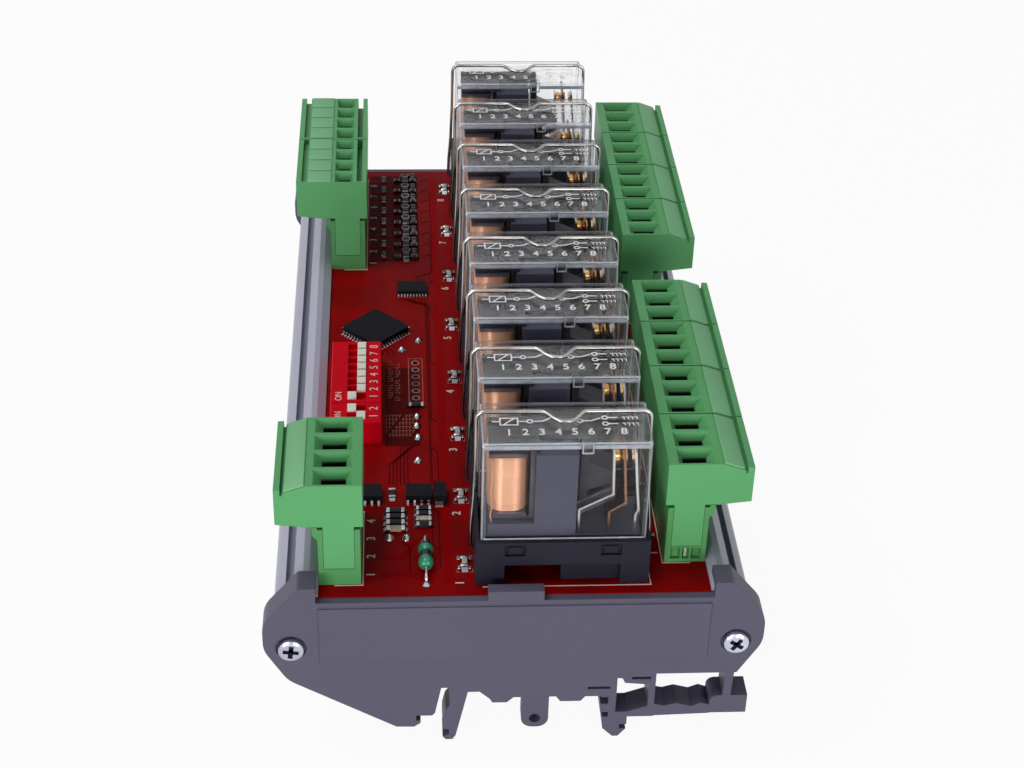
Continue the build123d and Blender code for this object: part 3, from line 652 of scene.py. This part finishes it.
def hole_rings(work):
    """The tinned rings of the row of open pin holes."""
    for index in range(6):
        y = from_front(62.2 + pole_pitch / 2 * index)
        ring_at(work, (-16.6 * mm, y, board_top + track_height / 2), 0.55 * mm, 0.85 * mm, track_height)


piece("board_solder_joints", solder_joints, solder)
# Dull tin: the open hole rings' own dull finish, and painted shade on the input rows' tinned ends.
dull_and_shaded_tin = metal_finish("dull_and_shaded_tin", (52, 50, 54), (124, 122, 126), rough=0.35, edge=0.0)
piece("open_hole_rings", hole_rings, dull_and_shaded_tin)


# The chips: black moulded packages on bent, tinned legs. The square one stands turned by half a
# right angle, with eleven legs on each of its sides.
chip_plastic = surface("chip_plastic", (32, 32, 37), 0.55, 0.8, grain=500.0, depth=0.1, edge=0.08,
                       shine=0.04)
finish("main_chip", chip_plastic)
finish("small_chips", chip_plastic)
leg_thickness = 0.13 * mm


def bent_leg(work, foot, out, width, rise, reach):
    """A gull-wing leg: out of the package, down and along the board."""
    side = Vector((-out.y, out.x, 0)) * width / 2
    corners = ((side, 0.0), (-side, 0.0), (-side, leg_thickness), (side, leg_thickness))
    sections = []
    for along, height in ((0.0, rise), (reach * 0.35, rise), (reach * 0.55, 0.12 * rise), (reach, 0.0)):
        point = foot + out * along + Vector((0, 0, height))
        sections.append([work.verts.new(point + across + Vector((0, 0, lift))) for across, lift in corners])
    skin(work, sections)


def chip_legs(work):
    """Rows of legs on the sides of each package, turned to the directions that the sides face."""
    low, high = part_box("main_chip")
    two_sides = (90, 270)
    small_chip_y = from_front(30.0)
    # X, Y, directions, and in millimetres: half the body, legs, pitch, width, rise and reach.
    rows = [
        ((low.x + high.x) / 2, (low.y + high.y) / 2, (45, 135, 225, 315), 4.95, 11, 0.8, 0.36, 0.6, 1.1),
        (*driver_place, two_sides, 2.15, 10, 0.65, 0.25, 0.5, 1.0),
        (-16.7 * mm, small_chip_y, two_sides, 1.9, 4, 1.27, 0.42, 0.7, 1.1),
        (-25.9 * mm, small_chip_y, two_sides, 1.9, 4, 1.27, 0.42, 0.7, 1.1),
        (-12.8 * mm, from_front(29.4), two_sides, 2.1, 1, 1.0, 1.5, 0.9, 0.9),
    ]
    for x, y, turns, half_body, count, pitch, width, rise, reach in rows:
        for turn in turns:
            out = Vector((math.cos(math.radians(turn)), math.sin(math.radians(turn)), 0))
            along = Vector((-out.y, out.x, 0))
            for index in range(count):
                shift = out * half_body + along * (index - (count - 1) / 2) * pitch
                bent_leg(work, Vector((x, y, board_top)) + shift * mm, out, width * mm, rise * mm, reach * mm)


piece("chip_legs", chip_legs, solder)


# The small soldered parts: ceramic and moulded blocks with tinned ends, eight lamps beside the
# relays, and a green axial choke that stands on its two bent leads.
component_ceramic = surface("component_ceramic", (196, 184, 160), 0.5, 0.8, grain=600.0, edge=0.06)
component_black = surface("component_black", (40, 38, 44), 0.42, 0.75, grain=600.0, edge=0.06, shine=0.1)
lamp_plastic = surface("lamp_plastic", (176, 176, 170), 0.32, 0.85, grain=500.0, edge=0.08)
choke_green = surface("choke_green", (44, 150, 112), 0.2, 0.85, grain=400.0, edge=0.0, shine=0.5)


def wedge(work, base, out, width, reach, height):
    """A solder fillet: a small ramp from the part's end down to its pad."""
    across = Vector((-out.y, out.x, 0)) * width / 2
    up = Vector((0, 0, height))
    tip = out * reach
    corners = [base + across, base - across, base + across + up, base - across + up,
               base + tip + across * 0.8, base + tip - across * 0.8]
    points = [work.verts.new(corner) for corner in corners]
    for face in ((0, 1, 3, 2), (0, 2, 4), (1, 5, 3), (2, 3, 5, 4), (0, 4, 5, 1)):
        work.faces.new([points[corner] for corner in face])


def capped_block(body_work, ends_work, x, distance, wide, deep, high, along="x"):
    """A surface part: a moulded block between two tinned ends with their solder fillets."""
    crossways = along == "y"
    run = Vector((0, 1, 0)) if crossways else Vector((1, 0, 0))
    long, cross = (deep, wide) if crossways else (wide, deep)

    def block(work, centre, length, width, height, bevel):
        size = (width, length, height) if crossways else (length, width, height)
        brick(work, centre, Vector(size) * mm, bevel=bevel * mm)

    centre = Vector((x * mm, from_front(distance), board_top + high * mm / 2 + 0.05 * mm))
    block(body_work, centre, long * 0.62, cross * 0.94, high, 0.08)
    for side in (-1, 1):
        end = centre + run * side * long * 0.40 * mm
        block(ends_work, end, long * 0.2, cross, high * 1.03, 0.1)
        fillet_base = Vector((end.x, end.y, board_top)) + run * side * long * 0.1 * mm
        wedge(ends_work, fillet_base, run * side, cross * 0.9 * mm, long * 0.16 * mm, high * 0.6 * mm)


light_parts, dark_parts, lamp_parts, tinned_ends, far_row_shaded_ends = (bmesh.new() for _ in range(5))
for x, y in lamp_places:
    middle = Vector((x, y, board_top + 0.55 * mm))
    brick(lamp_parts, middle, Vector((1.0, 1.7, 1.0)) * mm, bevel=0.15 * mm)
    for side in (-1, 1):
        end = middle + Vector((0, side * 1.1, -0.05)) * mm
        brick(tinned_ends, end, Vector((1.7, 0.7, 0.9)) * mm, bevel=0.25 * mm)
        for ear in (-1, 1):
            place = middle + Vector((ear * 1.0, side * 1.3, -0.3)) * mm
            brick(tinned_ends, place, Vector((0.5, 0.9, 0.4)) * mm, bevel=0.15 * mm)
        base = Vector((end.x, end.y + side * 0.3 * mm, board_top))
        wedge(tinned_ends, base, Vector((0, side, 0)), 1.3 * mm, 0.8 * mm, 0.55 * mm)

# Each input has the same six parts: X, distance behind the input's row, width, depth, height, run.
input_parts = [
    (-19.9, 0.0, 1.5, 1.25, 0.6, "x"),
    (-18.0, 0.0, 1.5, 2.8, 0.9, "y"),
    (-16.2, 0.0, 1.5, 1.25, 0.6, "x"),
    (-18.0, 2.5, 1.9, 1.1, 0.6, "x"),
    (-16.2, 2.4, 1.1, 1.6, 0.6, "y"),
    (-23.0, 1.0, 1.1, 1.6, 0.6, "y"),
]
# The input rows' ends take the darker tin instead of solder: painted shade at the far end of the card.
for row in input_rows:
    for x, behind, *rest in input_parts:
        capped_block(dark_parts, far_row_shaded_ends, x, row + behind, *rest)
for index in range(4):
    left_parts = light_parts if index == 0 else dark_parts
    right_parts = light_parts if index == 1 else dark_parts
    capped_block(left_parts, tinned_ends, -20.9, 19.9 + index * 1.75, 3.4, 1.3, 0.7)
    capped_block(right_parts, tinned_ends, -15.7, 20.9 + index * 1.6, 2.8, 1.2, 0.8)
capped_block(dark_parts, tinned_ends, -16.6, 59.4, 3.0, 1.3, 0.6)
capped_block(dark_parts, tinned_ends, -21.5, 30.4, 1.3, 2.7, 0.7, along="y")


def gathered(work):
    """The mesh maker of a piece whose blocks were put together beforehand."""
    return lambda target: target.from_mesh(as_mesh("gathered", work))


piece("ceramic_parts", gathered(light_parts), component_ceramic,
      instead_of=["board_parts"])
piece("black_parts", gathered(dark_parts), component_black)
piece("relay_lamps", gathered(lamp_parts), lamp_plastic)
piece("tinned_ends", gathered(tinned_ends), solder)
piece("far_row_shaded_ends", gathered(far_row_shaded_ends), dull_and_shaded_tin)

choke_x = -15.6 * mm
choke_y = from_front(10.6)
choke_lift = 1.6
choke_middle = (choke_x, choke_y, board_top + choke_lift * mm)


def wire(work, route, radius, sides=10):
    """A round wire through the points of its route, its rings carried on without twisting."""
    rings = []
    across = None
    for index, point in enumerate(route):
        before = route[max(0, index - 1)]
        after = route[min(len(route) - 1, index + 1)]
        run = (after - before).normalized()
        if across is None:
            across = run.orthogonal().normalized()
        across = (across - run * across.dot(run)).normalized()
        other = run.cross(across)
        rings.append([work.verts.new(point + radius * (math.cos(a) * across + math.sin(a) * other))
                      for a in angles(sides)])
    skin(work, rings)


def choke_body(work):
    """Two beads with a narrower waist between them, as the coating hardens round the coil."""
    bead = [(0.98, 0.5), (1.08, 0.9), (1.28, 1.3), (1.36, 1.8), (1.32, 2.25), (1.15, 2.75), (0.8, 3.1),
            (0.3, 3.2)]
    both = [(radius, -along) for radius, along in reversed(bead)] + bead
    lathe(work, in_mm(both), choke_middle, (0, 1, 0))


def choke_leads(work):
    """The lead out of each end, bent down to a solder joint on the board."""
    joint = in_mm([(0.8, 0), (0.6, 0.25), (0.32, 0.5)])
    for side in (-1, 1):
        route = [Vector((choke_x, choke_y + side * y * mm, board_top + z * mm))
                 for y, z in ((2.9, choke_lift), (5.2, choke_lift), (5.7, 1.4), (5.95, 0.9), (6.0, 0.0))]
        wire(work, route, 0.3 * mm)
        lathe(work, joint, (choke_x, choke_y + side * 6.0 * mm, board_top), (0, 0, 1), sides=14)


def choke_bands(work):
    """The dark colour bands round the choke's waist and its far bead."""
    for start, end, radius in ((-0.75, 0.75, 1.06), (1.95, 2.55, 1.37)):
        ring = [(radius - 0.25, start), (radius, start + 0.03), (radius, end - 0.03), (radius - 0.25, end)]
        lathe(work, in_mm(ring), choke_middle, (0, 1, 0))


choke_band = surface("choke_band", (24, 44, 36), 0.3, 0.8, grain=400.0, edge=0.0, shine=0.4)
piece("choke_bands", choke_bands, choke_band)
piece("choke_body", choke_body, choke_green)
piece("choke_leads", choke_leads, solder)


# The switch banks: bright red moulded bodies with a slot and a white slider for each position.
# Their tops carry plain numbers and the side on which a slider is on.
switch_plastic = surface("switch_plastic", (206, 2, 28), 0.38, 0.92, grain=300.0, edge=0.15, shine=0.04)
slider_plastic = surface("slider_plastic", (236, 232, 222), 0.4, 0.9, grain=300.0, edge=0.12)
switch_marks, on_marks = [], []
for bank in (2, 8):
    finish(f"switch_bank_{bank}", switch_plastic)
    low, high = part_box(f"switch_bank_{bank}")
    mark_z = high.z + ink_height / 2
    for number in range(1, bank + 1):
        finish(f"switch_slider_{bank}_{number}", slider_plastic)
        slider_low, slider_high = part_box(f"switch_slider_{bank}_{number}")
        middle_y = (slider_low.y + slider_high.y) / 2
        switch_marks.append((str(number), (high.x - 1.5 * mm, middle_y, mark_z), 90))
    on_marks.append(("ON", (low.x + 1.6 * mm, low.y + 2.2 * mm, mark_z), 90))
lettering("switch_figures", switch_marks, 2.4 * mm, printed_ink, weight=-0.006)
lettering("switch_on_marks", on_marks, 1.9 * mm, printed_ink, weight=-0.006)


# The relay sockets: black moulded plastic, soldered to the board. The bent wire clips hook into
# their short sides and hold the relays down.
socket_plastic = surface("socket_plastic", (35, 33, 45), 0.45, 0.85, grain=350.0, depth=0.08, edge=0.2,
                         shine=0.15)
finish("relay_sockets", socket_plastic)
clip_steel = metal_finish("clip_steel", (128, 126, 126), (206, 202, 198), rough=0.2, edge=0.0)
clip_radius = 0.35 * mm
clip_bend = 1.4
clip_half_width = 15.15
bow_half_width = 3.9
bow_depth = 3.0 * mm


def clip_route(relay_x, relay_y):
    """From the left foot up the socket's side, over the cover with a bow towards the front, and down."""
    low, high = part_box("retaining_clips")
    top = high.z - clip_radius
    foot = low.z + 0.2 * mm
    lean = 2.65 * mm
    bend_z = top - clip_bend * mm
    leg = [(15.75, foot), (16.0, foot + 1.6 * mm), (15.9, foot + 5.0 * mm), (15.5, foot + 10.0 * mm),
           (15.22, foot + 18.0 * mm), (clip_half_width, bend_z)]
    for a in (math.radians(15 * step) for step in range(1, 7)):
        leg.append((clip_half_width - clip_bend * (1 - math.cos(a)), bend_z + clip_bend * mm * math.sin(a)))
    half = [(x * mm, lean * (z - foot) / (top - foot), z) for x, z in leg]
    for step in range(0, 13):
        x = bow_half_width - bow_half_width * step / 12
        share = 0.5 + 0.5 * math.cos(math.pi * min(1.0, (x / bow_half_width) ** 1.5))
        half.append((x * mm, lean - bow_depth * share, top))
    points = [(-x, y, z) for x, y, z in half] + list(reversed(half))[1:]
    return [Vector((relay_x + x, relay_y + y, z)) for x, y, z in points]


def clip_wires(work):
    """One bent wire over each relay."""
    for relay_x, relay_y in relay_middles:
        wire(work, clip_route(relay_x, relay_y), clip_radius)


piece("clip_wires", clip_wires, clip_steel, instead_of=["retaining_clips"], smooth=60)


# Inside the relays: a grey moulded base and wall, a copper winding on its former round the iron
# core, and silvery fixed blades beside the copper one that the armature pushes.
relay_plastic = surface("relay_plastic", (82, 80, 95), 0.5, 0.92, grain=300.0, depth=0.05, shine=0.1)
former_plastic = surface("former_plastic", (78, 76, 90), 0.5, 0.9, grain=300.0, depth=0.05, shine=0.1)
armature_iron = surface("armature_iron", (66, 64, 72), 0.4, 0.9, grain=300.0, depth=0.05)
yoke_iron = metal_finish("yoke_iron", (76, 74, 80), (116, 114, 120), rough=0.35)
blade_silver = metal_finish("blade_silver", (190, 188, 186), (238, 236, 232), rough=0.22)
blade_copper = metal_finish("blade_copper", (132, 92, 66), (186, 140, 110), rough=0.25)
contact_gold = metal_finish("contact_gold", (206, 140, 62), (246, 206, 130), rough=0.2, edge=0.0)
winding_copper = surface("winding_copper", (244, 184, 148), 0.32, 0.78, grain=160.0, depth=0.02,
                         edge=0.0, metal=0.45, stretch=(1, 1, 8))
finish("relay_bases", relay_plastic)
finish("coil_bobbins", former_plastic)
finish("relay_yokes", yoke_iron)
finish("fixed_contacts", blade_silver)
finish("spring_blades", blade_copper)
for number in range(1, 9):
    finish(f"relay_armature_{number}", armature_iron)

turn_pitch = 0.42 * mm
wire_bulge = 0.13 * mm
coil_corner = 2.9 * mm
ring_points = 40


def winding(work):
    """Each coil as a stack of rounded turns on a rounded rectangle."""
    low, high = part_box("coil_windings")
    left, right = low.x - 0.2 * mm, high.x + 0.55 * mm
    top = high.z + 0.1 * mm
    half_wide = (right - left) / 2
    half_deep = (high.y - low.y - relay_middles[-1][1] + relay_middles[0][1]) / 2 + 0.15 * mm
    sunk = (wire_bulge, 0.04 * mm, 0.0, 0.04 * mm)
    rows = int((top - low.z) / turn_pitch) * len(sunk)
    for _, relay_y in relay_middles:
        rings = []
        for row in range(rows + 1):
            z = low.z + row / rows * (top - low.z)
            radius = coil_corner - sunk[row % len(sunk)]
            ring = []
            for step in range(ring_points):
                angle = 2 * math.pi * (step + 0.5) / ring_points
                x = math.copysign(half_wide - coil_corner, math.cos(angle)) + radius * math.cos(angle)
                y = math.copysign(half_deep - coil_corner, math.sin(angle)) + radius * math.sin(angle)
                ring.append(work.verts.new(((left + right) / 2 + x, relay_y + y, z)))
            rings.append(ring)
        skin(work, rings)


def coil_leads(work):
    """The thin lead that comes down each coil's near corner to the base."""
    low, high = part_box("coil_windings")
    front = low.y - relay_middles[0][1] - 0.35 * mm
    drops = ((0.3, 0.0), (0.45, -3.5), (0.25, -7.5), (0.5, -10.5), (0.2, -12.0), (0.5, -13.5), (0.3, -15.0))
    for _, relay_y in relay_middles:
        route = [Vector((low.x + x * mm, relay_y + front, high.z + z * mm)) for x, z in drops]
        wire(work, route, 0.13 * mm, sides=6)


piece("wound_coils", winding, winding_copper, instead_of=["coil_windings"], smooth=80)
piece("coil_leads", coil_leads, winding_copper)


def contact_buttons(work):
    """The domed contact rivets at the blades' tips: a closed pair and, apart from it, the open one."""
    offset_x = relay_middles[0][0] + 10.05 * mm
    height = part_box("spring_blades")[1].z - 1.4 * mm
    for _, relay_y in relay_middles:
        for start, end, direction in ((-1.85, -0.55, 1), (0.5, -0.5, -1), (0.5, 0.56, 1), (1.95, 1.22, -1)):
            long = abs(end - start)
            button = in_mm([(0.95, 0.0), (1.05, 0.04), (1.05, long * 0.6), (0.85, long * 0.9), (0.4, long)])
            place = (offset_x + start * mm, relay_y - 3.0 * mm, height)
            lathe(work, button, place, (direction, 0, 0), sides=16)


piece("contact_buttons", contact_buttons, contact_gold)


# The relay covers: clear moulded boxes. Their flat sides are nearly invisible, and the pale bands
# where their walls are seen edge on and the bright line along every rounded edge are painted highlights.
nub_rise = 0.4 * mm
cover_wall = 0.85 * mm


def clear_finish():
    """Clear plastic, painted paler where a wall is seen edge on and along the rounded edges: painted highlights.
    """
    material, tree = empty_material("clear_plastic")
    low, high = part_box("relay_cover_1")
    size = high - low

    def step(operation, *values):
        return calculate(tree, operation, *values)

    def fade(value, start, end):
        ramp = add(tree, "ShaderNodeMapRange", {"Value": value, "From Min": start, "From Max": end})
        return ramp.outputs["Result"]

    place = add(tree, "ShaderNodeTexCoord", {}).outputs
    within = add(tree, "ShaderNodeSeparateXYZ", {0: place["Generated"]}).outputs
    facing = add(tree, "ShaderNodeSeparateXYZ", {0: place["Normal"]}).outputs
    straight = [step("ABSOLUTE", facing[axis]) for axis in range(3)]
    from_low = [step("MULTIPLY", within[axis], size[axis]) for axis in range(3)]
    to_high = [step("SUBTRACT", size[axis], from_low[axis]) for axis in range(3)]
    near = [
        step("MINIMUM", from_low[0], to_high[0]),
        step("MINIMUM", step("SUBTRACT", from_low[1], cover_nub), to_high[1]),
        step("SUBTRACT", to_high[2], nub_rise),
    ]
    # Painted highlight: the walls turn pale where they are seen edge on.
    band = None
    for axis, share in enumerate((0.26, 0.2, 0.4)):
        in_wall = fade(near[axis], cover_wall * 1.05, cover_wall * 0.95)
        side = step("MULTIPLY", in_wall, step("SUBTRACT", 1.0, straight[axis]))
        side = step("MULTIPLY", side, share)
        band = side if band is None else step("MAXIMUM", band, side)
    # Painted highlight: a pale, less clear line along every rounded edge.
    most = step("MAXIMUM", step("MAXIMUM", straight[0], straight[1]), straight[2])
    rounded = fade(most, 0.985, 0.86)
    solid = step("ADD", band, step("MULTIPLY", rounded, 0.5))
    shader = add(tree, "ShaderNodeBsdfPrincipled", {
        "Base Color": tint(222, 228, 238),
        "IOR": 1.46,
        "Roughness": 0.04,
        "Alpha": step("ADD", solid, 0.15),
        "Transmission Weight": step("SUBTRACT", 1.0, solid),
    })
    add(tree, "ShaderNodeOutputMaterial", {"Surface": shader.outputs[0]})
    return material


clear_plastic = clear_finish()
for number in range(1, 9):
    finish(f"relay_cover_{number}", clear_plastic)

cover_ink = surface("cover_ink", (244, 244, 244), 0.5, 0.92, grain=400.0, edge=0.0)
print_lift = 0.005 * mm
print_low = relay_rows[0][1].z - nub_rise + print_lift


def cover_print(work):
    """A coil symbol and a changeover contact with its terminal dots, on each relay's top."""
    for relay_x, relay_y in relay_middles:
        def draw(points, width=0.26):
            placed = [(relay_x + x * mm, relay_y + y * mm) for x, y in points]
            ribbon(work, placed, width * mm, print_low, ink_height)

        draw([(-11.2, -0.7), (-11.2, 1.3), (-8.2, 1.3), (-8.2, -0.7), (-11.33, -0.7)])
        draw([(-10.6, -0.6), (-8.8, 1.2)])
        draw([(-12.6, 0.3), (-11.3, 0.3)])
        draw([(-8.1, 0.3), (-6.7, 0.3)])
        draw([(-5.4, 0.3), (-4.0, 0.3), (-2.6, 1.2)])
        draw([(3.1, 0.3), (4.4, 0.3), (6.0, 1.1)])
        draw([(7.4, 1.2), (9.0, 1.2)])
        draw([(7.4, -0.6), (9.0, -0.6)])
        for x, y in ((-6.1, 0.3), (2.5, 0.3), (6.8, 1.2), (6.8, -0.6)):
            place = (relay_x + x * mm, relay_y + y * mm, print_low)
            ring_at(work, place, 0.34 * mm, 0.6 * mm, ink_height)
        for y in (1.3, -0.5):
            for stroke in range(4):
                x = 9.7 + 0.75 * stroke
                draw([(x, y), (x + 0.45, y), (x + 0.45, y - 0.7)], 0.18)


piece("relay_cover_print", cover_print, cover_ink)
# Painted highlight: opaque pale bars for the light that the clear covers' edges catch.
painted_highlight_edge = surface("painted_highlight_edge", (184, 188, 198), 0.3, 0.6, grain=5000.0, edge=0.0, shine=0.4)


def cover_edges(work):
    """Painted highlights: the bright outline of each cover's catch, the pale band under its top, and its lit
    lower edge.
    """
    catch_x, half, tall, bar = 3.4 * mm, 1.0 * mm, 2.3 * mm, 0.22 * mm
    soft = 0.05 * mm
    lower_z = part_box("relay_sockets")[1].z + 0.15 * mm
    for (relay_x, relay_y), (low, high) in zip(relay_middles, relay_rows):
        x, y, z = relay_x + catch_x, low.y, high.z - tall / 2
        for side in (-1, 1):
            brick(work, (x + side * (half - bar / 2), y, z), (bar, bar, tall), bevel=soft)
            brick(work, (x, y, z + side * (tall - bar) / 2), (2 * half, bar, bar), bevel=soft)
        for start, end in ((-14.3, 2.3), (4.5, 14.3)):
            middle = (relay_x + (start + end) / 2 * mm, low.y + 0.75 * mm, high.z - 1.45 * mm)
            brick(work, middle, ((end - start) * mm, 0.12 * mm, 0.75 * mm), bevel=0.04 * mm)
        brick(work, (relay_x, relay_y - 6.2 * mm, lower_z), (28.0 * mm, 0.14 * mm, 0.3 * mm), bevel=soft)


piece("cover_painted_highlight_bars", cover_edges, painted_highlight_edge)
pin_numbers = []
number_z = print_low + ink_height / 2
for relay_x, relay_y in relay_middles:
    for place in range(8):
        x = relay_x + (-9.8 + 2.8 * place) * mm
        pin_numbers.append((str(place + 1), (x, relay_y - 2.9 * mm, number_z), 0))
lettering("relay_pin_numbers", pin_numbers, 2.5 * mm, cover_ink)


# The headers and plugs: satin green moulded blocks. Each plug has flared wire entries on top with
# steel clamp cages below, a paler marker strip beside them, and a slotted clamp screw per pole.
# The cages' near-black colour is painted shade of the deep entries.
terminal_green = surface("terminal_green", (94, 168, 107), 0.38, 0.94, grain=300.0, depth=0.05, edge=0.15)
header_green = surface("header_green", (84, 150, 90), 0.4, 0.94, grain=300.0, depth=0.05, edge=0.12)
marker_green = surface("marker_green", (126, 188, 138), 0.5, 0.94, grain=300.0, depth=0.04, edge=0.1)
pin_tin = surface("pin_tin", (178, 210, 174), 0.35, 0.85, grain=600.0, edge=0.0, metal=0.2)
# Painted shade: the clamp cages are coloured near black for the shade deep in the wire entries.
painted_shade_cage_steel = metal_finish("painted_shade_cage_steel", (22, 26, 22), (44, 50, 44), rough=0.45)
plugs = [f"plug_right_{n}" for n in range(1, 9)] + [f"plug_left_{n}" for n in range(1, 4)]
for node in plugs:
    finish(node, terminal_green)
for node in header_sides:
    finish(node, header_green)


def plug_places():
    """Each plug's inner edge, outward direction, poles' middles, ends, top, and if its strips are flat."""
    for node in plugs:
        low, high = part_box(node)
        side = 1 if low.x > 0 else -1
        poles = round((high.y - low.y) / (pole_pitch * mm))
        middles = [low.y + (index + 0.5) * pole_pitch * mm for index in range(poles)]
        flat = node in ("plug_left_2", "plug_left_3")
        yield (low.x if side > 0 else high.x), side, middles, (low.y, high.y), high.z, flat


def marker_strips(work):
    """Paler strips that snap in beside the wire entries, sloped on most plugs and flat on two."""
    slope = math.atan2(1.5, 4.1)
    for inner, side, middles, (near, far), top, flat in plug_places():
        if flat:
            for y in middles:
                centre = (inner + side * 10.1 * mm, y, top + 0.1 * mm)
                brick(work, centre, Vector((5.0, 4.75, 0.3)) * mm, bevel=0.08 * mm)
        else:
            centre = (inner + side * 11.6 * mm, (near + far) / 2, top - 0.62 * mm)
            size = (3.75 * mm, far - near - 0.5 * mm, 0.4 * mm)
            brick(work, centre, size, bevel=0.1 * mm, turn=Matrix.Rotation(side * slope, 3, "Y"))


def clamp_cages(work):
    """The steel cage at the bottom of each wire entry, split by the jaw that the screw draws up; its near-black
    colour is painted shade.
    """
    for inner, side, middles, _, top, flat in plug_places():
        reach, wide = (4.8, 2.2) if flat else (4.9, 4.0)
        x = inner + side * reach * mm
        for middle in middles:
            y = middle - 0.2 * mm
            brick(work, (x, y, top - 6.3 * mm), Vector((wide, 3.0, 0.3)) * mm, bevel=0.05 * mm)
            brick(work, (x, y + 1.42 * mm, top - 3.7 * mm), Vector((wide, 0.3, 4.2)) * mm, bevel=0.05 * mm)


def header_pins(work):
    """The tinned pin that shows in the open end of the right-hand headers."""
    for node in ("headers_right_near", "headers_right_far"):
        low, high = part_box(node)
        x = low.x + 3.75 * mm
        for y in (low.y + 0.55 * mm, high.y - 0.55 * mm):
            brick(work, (x, y, board_top + 1.9 * mm), Vector((0.55, 0.4, 1.9)) * mm, bevel=0.1 * mm)


def clamp_screw_places():
    """Place, direction and turn of each pole's clamp screw, in the outer side of its plug."""
    low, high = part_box("clamp_screws")
    for _, side, middles, _, _, _ in plug_places():
        x = (high.x if side > 0 else low.x) - side * 1.9 * mm
        for index, y in enumerate(middles):
            yield (x, y, (low.z + high.z) / 2), (side, 0, 0), 20 + 37 * index


clamp_height = 1.9
clamp_profile = in_mm([(1.8, 0.0), (1.8, 1.7), (1.6, clamp_height)])
clamp_head = screw_template(clamp_profile, 2, 0.7 * mm, 0.8 * mm, clamp_height * mm)
piece("marker_strips", marker_strips, marker_green)
piece("clamp_cages", clamp_cages, painted_shade_cage_steel)
piece("header_pins", header_pins, pin_tin)
piece("clamp_screw_heads", lambda work: repeat(work, clamp_head, clamp_screw_places()), plated_steel,
      instead_of=["clamp_screws"])


size = {"solids": [list(corner) for corner in solid_box], "dressed": [list(corner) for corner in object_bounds()]}
